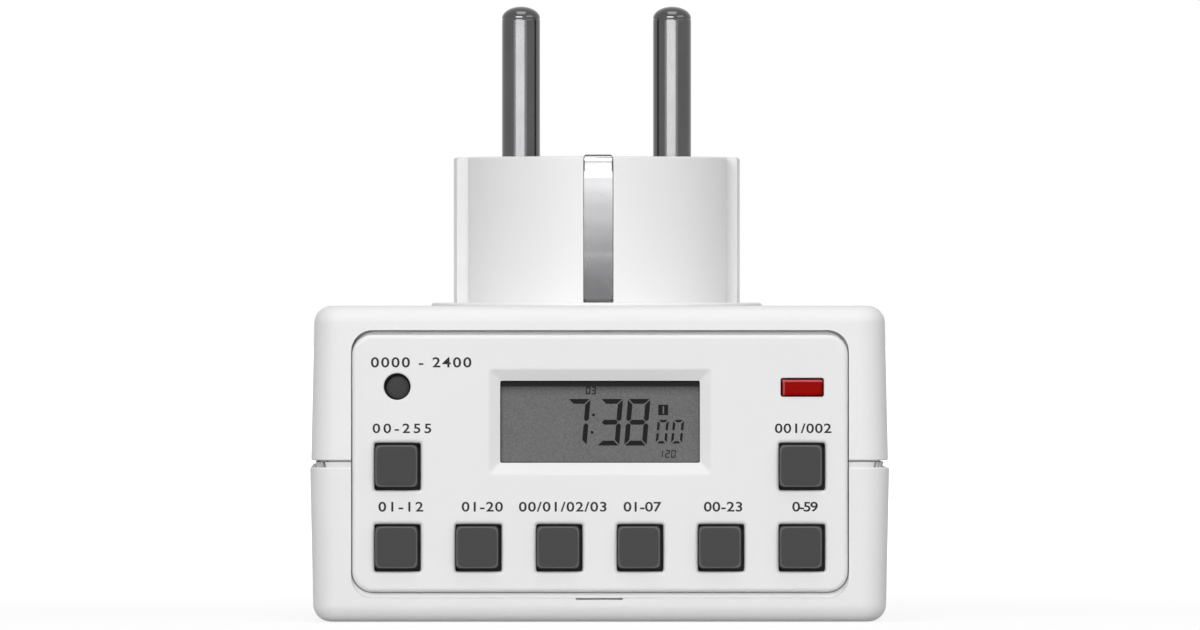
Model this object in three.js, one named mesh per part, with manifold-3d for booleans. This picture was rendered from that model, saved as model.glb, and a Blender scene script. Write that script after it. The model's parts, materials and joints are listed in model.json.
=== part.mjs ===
// Plug-in digital timer switch: a mains plug on top, a socket in the underside, a control panel in front.
// Millimetres. +Z points the way the plug does, +X to the panel's right, -Y out of the panel.
// The origin is the middle of the part's footprint, at the level of the rim round the socket.

import * as THREE from "three";
import { mergeVertices } from "three/addons/utils/BufferGeometryUtils.js";
import Module from "manifold-3d";

const wasm = await Module();
wasm.setup();

// Housing: two moulded halves that meet in a groove at mid height, as large as what they hold asks for
const wall = 2;
const wallBelowWellTop = 0.4;
const groove = 0.86;
const grooveInset = 0.5;
const upperSetIn = 0.14;
const cornerRadius = 3.2;
const edgeRadius = 2.1;
const innerRadius = 1.2;
const leanShare = 0.022;
const tongueThickness = 0.8;
const tongueHeight = 1.9;
const tongueClearance = 0.25;

// Clearances that several pieces share
const fit = 0.1;
const looseFit = 0.3;
const overrun = 1;
const weld = 0.0005;

// Plug: contour plug with two round pins and an earth strip front and back
const pinSpacing = 19;
const pinDiameter = 4.8;
const pinLength = 19;
const pinDome = 1.3;
const pinRoot = 14.7;
const pinHeadDiameter = 6.4;
const pinHeadHeight = 1;
const pinHeadToWall = 1.5;
const plugFlatInset = 2.05;
const plugWall = 4;
const plugHeight = 18.65;
const plugEdge = 0.3;
const plugFaceThickness = 7.75;
const pinBossDiameter = 9;
const pinBossHeight = 5;
const guideRibThickness = 1.8;
const guideGrooveWidth = 6;
const flangeWidth = 2.55;
const flangeProud = 0.4;
const flangeThickness = 1.25;
const flangeChamfer = 0.25;

// Plug screws, driven from inside the upper half
const plugScrewInset = { side: 7.7, back: 8.4 };
const plugScrewDiameter = 2.6;
const plugScrewLength = 9;
const plugScrewHeadDiameter = 4.8;
const plugScrewHeadHeight = 1.5;
const plugScrewBossDiameter = 5.4;
const plugScrewBossHeight = 11;

// Earth strip of the plug: one bent strip whose two arms hook over the plug's face
const earthWidth = 3.6;
const earthThickness = 0.5;
const earthCorner = 0.7;
const earthToCavityWall = 0.7;
const earthBaseDrop = 13;
const earthHookRise = 0.2;
const earthArmInset = 0.35;
const earthTailInset = 0.65;
const earthTailRise = 0.45;
const earthGrooveDepth = 1.9;
const earthSideClearance = 0.17;
const earthSaddleDepth = 2.6;
const earthHookShares = { inner: 0.1, crown: 0.5, shoulder: 0.84, cheek: 0.96 };
const earthDropShares = { inner: 0.04, cheek: 0.045, bend: 0.13, arm: 0.27, belly: 0.5, tail: 0.76 };

// Socket well in the lower half
const plugToWell = 1.3;
const wellDepth = 17.5;
const wellWall = 1.8;
const wellToRearFace = 1.9;
const wellFloor = 2;
const wellRimChamfer = 0.7;
const contactHoleDiameter = 5.6;
const lugWidth = 5;
const lugReach = 2.9;
const lugLeadIn = 1.4;
const clipSlotWidth = 4.6;
const clipSlotReach = 2.4;
const clipSlotDepth = 1;
const clipSlotStart = 2.4;

// Earth clip of the socket: a strip with an arm down each side of the well
const clipWidth = 4;
const clipThickness = 0.6;
const clipArmInset = 0.6;
const clipNoseInset = 2.6;
const clipTailInset = 1.1;
const clipTailHeight = 3.6;
const clipHeightShares = { nose: 0.34, ease: 0.5, straight: 0.78 };

// Contact base, shutter and contacts over the well
const basePastPins = 4.6;
const baseRimWall = 1.2;
const baseRimHeight = 2.1;
const basePlate = 1.6;
const pocketHeight = 7.8;
const pocketWall = 0.8;
const pivotDiameter = 4;
const pivotClearance = 0.15;
const shutterThickness = 1.5;
const shutterHubDiameter = 8.8;
const shutterHubThickness = 0.7;
const shutterPastHoles = 0.3;
const wingMargin = 0.25;
const wingRampShare = 0.3;
const springRadius = 3.1;
const springWire = 0.3;
const springPitch = 0.36;
const springTurns = 1.5;
const springLeg = 1.8;
const contactThickness = 0.6;
const contactHeight = 9;
const contactSide = 3.3;
const contactGripClearance = 0.1;

// Bus bars and leads from the pins to the contacts and the power board
const barWidth = 4;
const barThickness = 0.8;
const barTopGap = 0.3;
const barFoot = 3;
const leadDiameter = 1.8;
const leadSides = 8;
const leadSteps = 10;
const leadRise = 6;
const linkWidth = 4;
const linkThickness = 0.6;

// Housing screws, in deep counterbores beside the plug
const screwSideSetback = 5.85;
const frontScrewSetback = 15.5;
const rearScrewSetback = 5.9;
const screwColumnDiameter = 7.5;
const counterboreDiameter = 6.2;
const counterboreDepth = 12;
const screwHeadDiameter = 5.6;
const screwHeadHeight = 2.1;
const screwDiameter = 2.8;
const screwLength = 17;
const screwHoleDiameter = 3.2;
const screwPilotExtra = 0.2;
const pilotDepth = 2;
const recessWidth = 0.8;
const recessSpan = 2.8;
const recessDepth = 1.1;

// Control panel, clamped between the halves
const panelSideMargin = 5.1;
const panelBottom = 3.7;
const panelTopMargin = 3.6;
const panelProud = 0.15;
const panelThickness = 2.2;
const panelRimThickness = 2.8;
const panelRimWidth = 1.7;
const panelCorner = 2.9;
const panelFillet = 0.6;
const panelFlange = 1.3;
const panelFlangeThickness = 1.1;
const recessSideGap = 0.27;
const recessTopGap = 0.5;
const recessBottomGap = 0.25;
const sillChamfer = 0.45;
const prySlotWidth = 5.8;
const prySlotHeight = 0.25;
const prySlotDepth = 1.2;

// Display: a glass cell behind a bevelled window, carried in a frame on the control board
const windowWidth = 24.7;
const windowHeight = 10.05;
const windowTopMargin = 4.375;
const windowBevel = 1.4;
const windowBevelDepth = 1;
const windowRim = 0.4;
const cellSideMargin = 1.85;
const cellEndMargin = 2.575;
const glassThickness = 1.1;
const cellLedge = 2.1;
const displayFrameWall = 1.1;
const displayFrameMargin = 0.4;
const zebraThickness = 1.4;

// Keys: caps of a square keypad, a round reset key and a window for the lamp
const keyColumns = 6;
const keySideMargin = 5.75;
const lowerKeyRise = 5.4;
const keyRowPitch = 10.05;
const keyToWindow = 6.275;
const keyHole = 5.8;
const keyHoleRadius = 0.35;
const keyHoleLip = 0.4;
const keyGap = 0.275;
const keyRadius = 0.5;
const keyEdge = 0.25;
const keyShiftX = -0.16;
const keyShiftZ = 0.12;
const capProud = 0.9;
const keyFlange = 0.65;
const keyFlangeThickness = 0.7;
const keyStem = 4.2;
const keyTravel = 0.7;
const resetDrop = 6.4;
const resetHoleDiameter = 3.3;
const resetDiameter = 2.9;
const resetSunk = 0.6;
const resetDome = 0.25;
const resetFlange = 0.7;
const resetStemDiameter = 2.2;
const matThickness = 1;
const matRing = 1;
const matRingHeight = 1.5;
const matRingClearance = 0.35;
const matMargin = 2.2;

// Indicator lamp
const lampDrop = 6.5;
const lampHoleWidth = 5.33;
const lampHoleHeight = 2.31;
const lampWidth = 5;
const lampThick = 2;
const lampProud = 0.25;
const lampLength = 6.6;
const lampEdge = 0.3;
const lampFlange = 0.35;
const lampFlangeThickness = 1;
const lampLeadSpacing = 2.54;
const lampLeadThickness = 0.5;

// Control board and what stands on it
const boardSetback = 8.2;
const boardThickness = 1.6;
const boardSideInset = 1.25;
const boardEndInset = 1.2;
const boardToWell = 1.75;
const boardScrewDrop = 2.5;
const bossToFrame = 1.1;
const boardBossDiameter = 3.4;
const boardScrewDiameter = 1.7;
const boardScrewLength = 5.5;
const boardScrewHeadDiameter = 3.4;
const boardScrewHeadHeight = 1;
const chipDiameter = 9;
const chipHeight = 1.2;
const chipEdgeShare = 0.72;
const chipX = -6;
const chipRise = 10.3;
const crystalDiameter = 2.1;
const crystalLength = 6;
const crystalX = -13.2;
const crystalRise = 8.3;

// Power board and what hangs from it
const powerBoardThickness = 1.6;
const powerBoardTopGap = 0.3;
const powerBoardFrontGap = 1.05;
const powerBoardBackGap = 2.2;
const powerBoardSideGap = 0.45;
const relayWidth = 18.2;
const relayDepth = 10.2;
const relayFrontMargin = 0.3;
const relayOverhang = 0.4;
const relayBottomGap = 0.5;
const relayEdge = 0.5;
const capacitorDepth = 7;
const capacitorBottomGap = 3.2;
const capacitorFrontMargin = 1.6;
const capacitorSideMargin = 3.3;
const capacitorToVaristor = 1.6;
const canDiameter = 8;
const canBottomGap = 2.4;
const canToRelay = 1.5;
const canToVaristor = 1.8;
const canGroove = 0.35;
const canGrooveShares = [0.12, 0.2];
const varistorDiameter = 9;
const varistorThickness = 3.4;
const varistorToRelay = 1.9;
const varistorFrontMargin = 0.4;
const varistorLeg = 1;
const rectifierWidth = 8.4;
const rectifierDepth = 4.6;
const rectifierHeight = 3.3;
const rectifierSideMargin = 3.8;
const resistorDiameter = 3;
const resistorEnd = 0.6;
const resistorGaps = { rectifier: 2.1, can: 1 };
const backRowShares = { rectifier: 0.57, resistor: 0.605 };
const ribbonWidth = 9;
const ribbonThickness = 0.7;
const ribbonX = -10;
const ribbonStandOff = 0.9;
const ribbonFootDrop = 7.3;

// Backup battery in a cradle of the lower half
const batteryDiameter = 11.2;
const batteryHeight = 15.2;
const batteryToWell = 1.85;
const batteryToWall = 1.05;
const batteryTurnShare = 0.21;
const batteryCells = 3;
const batteryGroove = 0.3;
const batteryGrooveHeight = 0.8;
const cradleWall = 1;
const cradleHeight = 8;
const batteryLeadDiameter = 1.4;
const batteryLeadRise = 5;
const batteryLeadToCapacitor = 0.8;

// Facets
const cornerSteps = 4;
const smallCornerSteps = 2;
const wellSegments = 36;
const plugSegments = 36;
const pinSegments = 20;
const rodSegments = 12;
const smallSegments = 10;
const domeSteps = 4;

// Sizes that follow from the ones above: the plug, its strip and the well that takes another plug
const pinX = pinSpacing / 2;
const plugDiameter = 2 * (pinX + pinHeadDiameter / 2 + pinHeadToWall + plugWall);
const plugAcrossFlats = plugDiameter - 2 * plugFlatInset;
const plugCavityDiameter = plugDiameter - 2 * plugWall;
const flangeDiameter = plugDiameter + 2 * flangeWidth;
const plugScrewX = plugDiameter / 2 - plugScrewInset.side;
const plugScrewBack = plugDiameter / 2 - plugScrewInset.back;
const earthInnerRadius = plugCavityDiameter / 2 - earthToCavityWall;
const earthArmRadius = plugDiameter / 2 - earthArmInset;
const earthGrooveFloor = plugDiameter / 2 - earthGrooveDepth;
const wellDiameter = plugDiameter + 2 * plugToWell;
const wellOuterRadius = wellDiameter / 2 + wellWall;
const clipSlotInner = wellDiameter / 2 - clipSlotReach;
const clipSlotOuter = wellDiameter / 2 + clipSlotDepth;
const clipArmRadius = wellDiameter / 2 - clipArmInset;
const clipNoseRadius = wellDiameter / 2 - clipNoseInset;
const clipTailRadius = wellDiameter / 2 - clipTailInset;
const baseDiameter = pinSpacing + 2 * basePastPins;
const shutterDiameter = pinSpacing + contactHoleDiameter + 2 * shutterPastHoles;
const pocketInner = contactSide + contactThickness / 2 + looseFit;
const pocketOuter = pocketInner + pocketWall;

// The housing: wide enough for the battery beside the well, deep enough for the board before it
const batteryReach = wellOuterRadius + batteryToWell + batteryDiameter / 2;
const batteryTurn = (batteryTurnShare * Math.PI) / 2;
const batteryX = -batteryReach * Math.cos(batteryTurn);
const housingWidth = 2 * (batteryDiameter / 2 - batteryX + batteryToWall + wall);
const wellToFront = boardSetback - panelProud + boardThickness + crystalDiameter + boardToWell;
const plugToRearFace = wellOuterRadius + wellToRearFace;
const housingDepth = wellToFront + wellOuterRadius + plugToRearFace;
const keySize = keyHole - 2 * keyGap;
const windowRise = lowerKeyRise + keyHole / 2 + keyToWindow + windowBevel + windowHeight / 2;
const panelHeight = windowRise + windowHeight / 2 + windowBevel + windowTopMargin;
const panelTop = panelBottom + panelHeight;
const housingHeight = panelTop + panelTopMargin;

// Levels, from the socket's rim up
const ceiling = housingHeight - wall;
const wellTop = wellDepth + wellFloor;
const lowerWallTop = wellTop - wallBelowWellTop;
const upperStart = lowerWallTop + groove;
const plateBottom = wellTop + baseRimHeight;
const plateTop = plateBottom + basePlate;
const flangeTop = housingHeight + flangeProud;
const flangeBottom = flangeTop - flangeThickness;
const plugFace = housingHeight + plugHeight;
const plugCeiling = plugFace - plugFaceThickness;
const pinBottom = plugFace - pinRoot;
const barTop = pinBottom - barTopGap;
const powerBoardTop = ceiling - powerBoardTopGap;
const powerBoardBottom = powerBoardTop - powerBoardThickness;

// Depths, from the front back
const frontY = capProud - (housingDepth + capProud) / 2;
const rearY = frontY + housingDepth;
const axisY = rearY - plugToRearFace;
const batteryY = axisY - batteryReach * Math.sin(batteryTurn);
const panelFaceY = frontY - panelProud;
const panelBackY = panelFaceY + panelThickness;
const panelRimY = panelFaceY + panelRimThickness;
const glassFaceY = panelFaceY + windowBevelDepth + windowRim + fit;
const boardFrontY = panelFaceY + boardSetback;
const boardBackY = boardFrontY + boardThickness;
const keyContactGap = keyTravel + fit;
const powerBoardFront = boardBackY + powerBoardFrontGap;
const powerBoardBack = axisY - pocketOuter - powerBoardBackGap;

// Places on the panel and on the control board behind it
const panelWidth = housingWidth - 2 * panelSideMargin;
const panelCentre = panelBottom + panelHeight / 2;
const windowCentre = panelBottom + windowRise;
const cellWidth = windowWidth + 2 * cellSideMargin;
const cellHeight = windowHeight + 2 * cellEndMargin;
const keyColumnPitch = (panelWidth - 2 * keySideMargin) / (keyColumns - 1);
const outerColumnX = (keyColumnPitch * (keyColumns - 1)) / 2;
const lowerKeyHeight = panelBottom + lowerKeyRise;
const upperKeyHeight = lowerKeyHeight + keyRowPitch;
const resetHeight = panelTop - resetDrop;
const lampHeight = panelTop - lampDrop;
const controlBoardWidth = panelWidth - 2 * boardSideInset;
const controlBoardHeight = panelHeight - 2 * boardEndInset;
const controlBoardBottom = panelBottom + boardEndInset;
const boardScrewX =
  cellWidth / 2 + displayFrameMargin + displayFrameWall + bossToFrame + boardBossDiameter / 2;
const lowerBoardScrewHeight = (lowerKeyHeight + upperKeyHeight) / 2 + keyShiftZ;
const upperBoardScrewHeight = panelTop - boardScrewDrop;
const chipZ = panelBottom + chipRise;
const crystalZ = panelBottom + crystalRise;
const ribbonFootHeight = controlBoardBottom + controlBoardHeight - ribbonFootDrop;

// Places on the power board, between the screw columns
const screwX = housingWidth / 2 - screwSideSetback;
const powerBoardWidth = 2 * (screwX - screwColumnDiameter / 2 - powerBoardSideGap);
const relayLeft = powerBoardWidth / 2 + relayOverhang - relayWidth;
const relayHeight = powerBoardBottom - wellTop - relayBottomGap;
const capacitorHeight = powerBoardBottom - wellTop - capacitorBottomGap;
const canHeight = powerBoardBottom - plateTop - clipThickness - canBottomGap;
const canX = relayLeft - canToRelay - canDiameter / 2;
const canY = powerBoardFront + varistorFrontMargin + varistorThickness + canToVaristor + canDiameter / 2;
const varistorX = relayLeft - varistorToRelay - varistorDiameter / 2;
const capacitorLeft = capacitorSideMargin - powerBoardWidth / 2;
const batteryLeadX = capacitorLeft - batteryLeadToCapacitor - batteryLeadDiameter / 2;
const capacitorWidth = varistorX - varistorDiameter / 2 - capacitorToVaristor - capacitorLeft;
const capacitorBack = powerBoardFront + capacitorFrontMargin + capacitorDepth;
const backRowDepth = powerBoardBack - capacitorBack;
const rectifierY = capacitorBack + backRowDepth * backRowShares.rectifier;
const rectifierLeft = rectifierSideMargin - powerBoardWidth / 2;
const resistorY = capacitorBack + backRowDepth * backRowShares.resistor;
const resistorLeft = rectifierLeft + rectifierWidth + resistorGaps.rectifier;
const resistorLength = canX - canDiameter / 2 - resistorGaps.can - resistorLeft;

// Materials
function finish(color, roughness, metalness = 0) {
  return new THREE.MeshStandardMaterial({ color, roughness, metalness });
}
const whitePlastic = finish(0xe9e9e8, 0.45);
const greyRubber = finish(0x4a4a4b, 0.7);
const blackPlastic = finish(0x1d1e20, 0.5);
const beigePlastic = finish(0xd8d2c4, 0.5);
const nickel = finish(0x8d8e90, 0.22, 1);
const zincSteel = finish(0xa9abae, 0.35, 1);
const brass = finish(0xb5974f, 0.3, 1);
const displayGlass = finish(0x717472, 0.3);
const boardGreen = finish(0x1f5a35, 0.5);
const redLens = finish(0x9a1408, 0.25);
const relayBlue = finish(0x22365f, 0.4);
const foilYellow = finish(0xb99a32, 0.45);
const canSleeve = finish(0x1b2030, 0.35);
const varistorBlue = finish(0x2a5f94, 0.45);
const redInsulation = finish(0x8c2018, 0.55);
const blueInsulation = finish(0x274f8f, 0.55);
const greySheath = finish(0x8f9090, 0.6);
const cellSleeve = finish(0x3a8a58, 0.45);

// Solids, and the way to and from buffer geometry

function solidOf(geometry) {
  const plain = geometry.index ? geometry.toNonIndexed() : geometry.clone();
  plain.deleteAttribute("normal");
  plain.deleteAttribute("uv");
  const merged = mergeVertices(plain, weld);
  return new wasm.Manifold(
    new wasm.Mesh({
      numProp: 3,
      vertProperties: merged.attributes.position.array,
      triVerts: new Uint32Array(merged.index.array),
    }),
  );
}

function geometryOf(solid) {
  const { vertProperties, triVerts, numProp, numVert } = solid.getMesh();
  const positions = new Float32Array(numVert * 3);
  for (let i = 0; i < numVert; i++) {
    positions.set(vertProperties.subarray(i * numProp, i * numProp + 3), i * 3);
  }
  const geometry = new THREE.BufferGeometry();
  geometry.setAttribute("position", new THREE.BufferAttribute(positions, 3));
  geometry.setIndex(new THREE.BufferAttribute(triVerts, 1));
  geometry.computeVertexNormals();
  return geometry;
}

function joined(...solids) {
  return solids.reduce((whole, piece) => whole.add(piece));
}

function cut(solid, ...tools) {
  return tools.reduce((left, tool) => left.subtract(tool), solid);
}

// Outlines

function rectangle(x0, y0, x1, y1) {
  const shape = new THREE.Shape();
  shape.moveTo(x0, y0).lineTo(x1, y0).lineTo(x1, y1).lineTo(x0, y1).closePath();
  return shape;
}

function roundedRectangle(width, height, radius, x = 0, y = 0) {
  const points = ring(width / 2, height / 2, radius, smallCornerSteps);
  return new THREE.Shape(points.map(([u, v]) => new THREE.Vector2(x + u, y + v)));
}

function disc(radius, x = 0, y = 0, segments = rodSegments) {
  const points = [];
  for (let i = 0; i < segments; i++) {
    const angle = ((i + 1 / 2) / segments) * 2 * Math.PI;
    points.push(new THREE.Vector2(x + radius * Math.cos(angle), y + radius * Math.sin(angle)));
  }
  return new THREE.Shape(points);
}

// Points round a rounded rectangle, anticlockwise, as many whatever its size
function ring(halfX, halfY, radius, steps = cornerSteps) {
  const points = [];
  for (let corner = 0; corner < 4; corner++) {
    const sideX = corner === 0 || corner === 3 ? 1 : -1;
    const sideY = corner < 2 ? 1 : -1;
    for (let step = 0; step <= steps; step++) {
      const angle = ((corner + step / steps) * Math.PI) / 2;
      points.push([
        sideX * (halfX - radius) + radius * Math.cos(angle),
        sideY * (halfY - radius) + radius * Math.sin(angle),
      ]);
    }
  }
  return points;
}

// A bent strip's edge outline from its middle line, square at both ends
function stripOutline(middle, thickness) {
  const sides = [[], []];
  middle.forEach(([u, v], i) => {
    const before = middle[Math.max(i - 1, 0)];
    const after = middle[Math.min(i + 1, middle.length - 1)];
    const into = new THREE.Vector2(u - before[0], v - before[1]).normalize();
    const out = new THREE.Vector2(after[0] - u, after[1] - v).normalize();
    const along = into.clone().add(out).normalize();
    const reach = thickness / 2 / Math.max(along.dot(i ? into : out), 1 / 2);
    sides[0].push(new THREE.Vector2(u - along.y * reach, v + along.x * reach));
    sides[1].push(new THREE.Vector2(u + along.y * reach, v - along.x * reach));
  });
  return new THREE.Shape([...sides[0], ...sides[1].reverse()]);
}

// Prisms along each axis: an outline in (x, y), (x, z) or (y, z) drawn out between two levels

function extruded(shape, depth) {
  return new THREE.ExtrudeGeometry(shape, { depth, bevelEnabled: false, curveSegments: cornerSteps });
}

function alongZ(shape, z0, z1) {
  return solidOf(extruded(shape, z1 - z0).translate(0, 0, z0));
}

function alongY(shape, y0, y1) {
  return solidOf(extruded(shape, y1 - y0).rotateX(Math.PI / 2).translate(0, y1, 0));
}

function alongX(shape, x0, x1) {
  const turn = new THREE.Matrix4().makeBasis(
    new THREE.Vector3(0, 1, 0),
    new THREE.Vector3(0, 0, 1),
    new THREE.Vector3(1, 0, 0),
  );
  return solidOf(extruded(shape, x1 - x0).applyMatrix4(turn).translate(x0, 0, 0));
}

// A convex body through rounded rectangles: each section is { halfX, halfY, radius, at }
function loft(sections, x = 0, y = 0, steps = cornerSteps) {
  const rings = sections.map(({ halfX, halfY, radius, at }) =>
    ring(halfX, halfY, radius, steps).map(([u, v]) => [x + u, y + v, at]),
  );
  const count = rings[0].length;
  const positions = rings.flat(2);
  const index = [];
  for (let level = 0; level + 1 < rings.length; level++) {
    for (let i = 0; i < count; i++) {
      const next = (i + 1) % count;
      const a = level * count + i;
      const b = level * count + next;
      index.push(a, b, b + count, a, b + count, a + count);
    }
  }
  const last = (rings.length - 1) * count;
  for (let i = 1; i + 1 < count; i++) {
    index.push(0, i + 1, i, last, last + i, last + i + 1);
  }
  const geometry = new THREE.BufferGeometry();
  geometry.setAttribute("position", new THREE.Float32BufferAttribute(positions, 3));
  geometry.setIndex(index);
  return geometry;
}

// The same body with its sections stacked from front to back: at is a Y level, x and z its centre
function loftAlongY(sections, x, z, steps = smallCornerSteps) {
  const rising = sections.map((section) => ({ ...section, at: -section.at })).reverse();
  return solidOf(loft(rising, x, z, steps).rotateX(Math.PI / 2));
}

// Sections that round an edge off: inset grows from nothing to the radius as the level nears its end
function roundedEnd(halfX, halfY, radius, edge, end, direction) {
  const sections = [];
  for (let step = 0; step <= domeSteps; step++) {
    const angle = ((step / domeSteps) * Math.PI) / 2;
    const inset = edge * (1 - Math.cos(angle));
    sections.push({
      halfX: halfX - inset,
      halfY: halfY - inset,
      radius: radius - inset,
      at: end - direction * edge * (1 - Math.sin(angle)),
    });
  }
  return sections;
}

// A turned body: its profile is [radius, z] from the axis to the axis
function turned(profile, segments, x = 0, y = 0) {
  const points = profile.map(([radius, z]) => new THREE.Vector2(radius, z));
  return solidOf(new THREE.LatheGeometry(points, segments).rotateX(Math.PI / 2).translate(x, y, 0));
}

function mirroredX(solid) {
  return solidOf(flipped(geometryOf(solid), -1, 1));
}

function mirroredAboutAxis(solid) {
  return solidOf(flipped(geometryOf(solid).translate(0, -axisY, 0), 1, -1).translate(0, axisY, 0));
}

function flipped(geometry, scaleX, scaleY) {
  const turnedFaces = geometry.scale(scaleX, scaleY, 1);
  const order = turnedFaces.index.array;
  for (let i = 0; i < order.length; i += 3) {
    [order[i], order[i + 1]] = [order[i + 1], order[i]];
  }
  return turnedFaces;
}

// Groups of the assembly
const timer = new THREE.Group();
const housing = new THREE.Group();
const plug = new THREE.Group();
const socket = new THREE.Group();
const panel = new THREE.Group();
const controls = new THREE.Group();
const power = new THREE.Group();
timer.add(housing, plug, socket, panel, controls, power);

function place(group, name, solid, material, position = [0, 0, 0]) {
  const mesh = new THREE.Mesh(geometryOf(solid), material.clone());
  mesh.name = name;
  mesh.position.set(...position);
  group.add(mesh);
}

// Housing

// How far a wall leans in at a height, from its widest at the joint
function leanIn(z) {
  return leanShare * (z < lowerWallTop ? lowerWallTop - z : z - upperStart);
}

function upperSection(z, inset, radius) {
  const back = upperSetIn + leanIn(z) + inset;
  return { halfX: housingWidth / 2 - back, halfY: housingDepth / 2 - back, radius, at: z };
}

function lowerSection(z, inset, radius) {
  const back = leanIn(z) + inset;
  return { halfX: housingWidth / 2 - back, halfY: housingDepth / 2 - back, radius, at: z };
}

const housingCentreY = (frontY + rearY) / 2;

function housingLoft(sections) {
  return solidOf(loft(sections, 0, housingCentreY));
}

function screwPlaces() {
  const front = frontY + frontScrewSetback;
  const rear = rearY - rearScrewSetback;
  return [
    [-screwX, front],
    [screwX, front],
    [-screwX, rear],
    [screwX, rear],
  ];
}

// The way for the panel through the front wall, with its sill bevelled below the panel
function panelOpening() {
  const width = panelWidth + 2 * recessSideGap;
  const height = panelHeight + recessTopGap + recessBottomGap;
  const centre = panelCentre + (recessTopGap - recessBottomGap) / 2;
  const mouth = { halfX: width / 2, halfY: height / 2, radius: panelCorner + recessSideGap };
  const through = loftAlongY(
    [{ ...mouth, at: frontY - overrun }, { ...mouth, at: panelRimY + looseFit }],
    0,
    centre,
    cornerSteps,
  );
  const bevelled = (grown, at) => ({ ...mouth, halfY: mouth.halfY + grown / 2, at });
  const sill = loftAlongY(
    [
      bevelled(sillChamfer, frontY - overrun),
      bevelled(sillChamfer, frontY + leanIn(0)),
      bevelled(0, frontY + wall),
    ],
    0,
    centre - sillChamfer / 2,
    cornerSteps,
  );
  return joined(through, sill);
}

// The slot for prising the panel out, just below its sill
function prySlot() {
  const sillEdge = panelBottom - recessBottomGap - sillChamfer;
  return alongY(
    rectangle(-prySlotWidth / 2, sillEdge - prySlotHeight, prySlotWidth / 2, sillEdge + sillChamfer / 2),
    frontY - overrun,
    frontY + prySlotDepth,
  );
}

function upperHousing() {
  const foot = upperSection(upperStart, 0, cornerRadius);
  const edgeLevel = upperSection(housingHeight - edgeRadius, 0, cornerRadius);
  const shell = housingLoft([
    foot,
    ...roundedEnd(edgeLevel.halfX, edgeLevel.halfY, cornerRadius, edgeRadius, housingHeight, 1),
  ]);
  const cavity = housingLoft([
    upperSection(upperStart - overrun, wall, innerRadius),
    upperSection(ceiling, wall, innerRadius),
  ]);
  const rebateInset = wall - tongueThickness - tongueClearance;
  const rebate = housingLoft([
    upperSection(upperStart - overrun, rebateInset, innerRadius),
    upperSection(upperStart + tongueHeight + looseFit, rebateInset, innerRadius),
  ]);
  const columns = screwPlaces().map(([x, y]) =>
    alongZ(disc(screwColumnDiameter / 2, x, y), upperStart, ceiling + wall / 2),
  );
  const counterbores = screwPlaces().map(([x, y]) =>
    joined(
      alongZ(disc(counterboreDiameter / 2, x, y), housingHeight - counterboreDepth, housingHeight + overrun),
      alongZ(disc(screwHoleDiameter / 2, x, y), upperStart - overrun, housingHeight),
    ),
  );
  const plugSeat = alongZ(
    disc(flangeDiameter / 2 + fit, 0, axisY, plugSegments),
    flangeBottom - fit,
    housingHeight + overrun,
  );
  const conductorHalf = pinX + barWidth / 2 + looseFit;
  const conductorHole = alongZ(
    rectangle(-conductorHalf, powerBoardBack, conductorHalf, axisY + barReach() + looseFit),
    ceiling - overrun,
    housingHeight,
  );
  const plugScrewHole = disc(plugScrewDiameter / 2 + looseFit, plugScrewX, axisY + plugScrewBack);
  const plugScrewHoles = mirroredPair(alongZ(plugScrewHole, ceiling - overrun, housingHeight), mirroredX);
  return cut(
    joined(cut(shell, cavity, rebate), ...columns),
    ...counterbores,
    plugSeat,
    conductorHole,
    ...plugScrewHoles,
    panelOpening(),
  );
}

function socketWell() {
  const tube = alongZ(disc(wellOuterRadius, 0, axisY, wellSegments), wall / 2, wellTop);
  const wellRadius = wellDiameter / 2;
  const bore = turned(
    [
      [0, -overrun],
      [wellRadius + wellRimChamfer + overrun, -overrun],
      [wellRadius, wellRimChamfer],
      [wellRadius, wellDepth],
      [0, wellDepth],
    ],
    wellSegments,
    0,
    axisY,
  );
  const lug = alongY(
    new THREE.Shape([
      new THREE.Vector2(wellRadius + wellWall / 2, lugLeadIn),
      new THREE.Vector2(wellRadius + wellWall / 2, wellDepth + wellFloor / 2),
      new THREE.Vector2(wellRadius - lugReach, wellDepth + wellFloor / 2),
      new THREE.Vector2(wellRadius - lugReach, lugLeadIn + lugReach),
    ]),
    axisY - lugWidth / 2,
    axisY + lugWidth / 2,
  );
  const clipSlot = alongZ(
    rectangle(-clipSlotWidth / 2, axisY + clipSlotInner, clipSlotWidth / 2, axisY + clipSlotOuter),
    clipSlotStart,
    wellTop + overrun,
  );
  const contactHole = alongZ(
    disc(contactHoleDiameter / 2, pinX, axisY, pinSegments),
    wellDepth - overrun,
    wellTop + overrun,
  );
  return {
    tube,
    bore,
    lugs: mirroredPair(lug, mirroredX),
    cuts: [...mirroredPair(clipSlot, mirroredAboutAxis), ...mirroredPair(contactHole, mirroredX)],
  };
}

function mirroredPair(solid, mirror) {
  return [solid, mirror(solid)];
}

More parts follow.
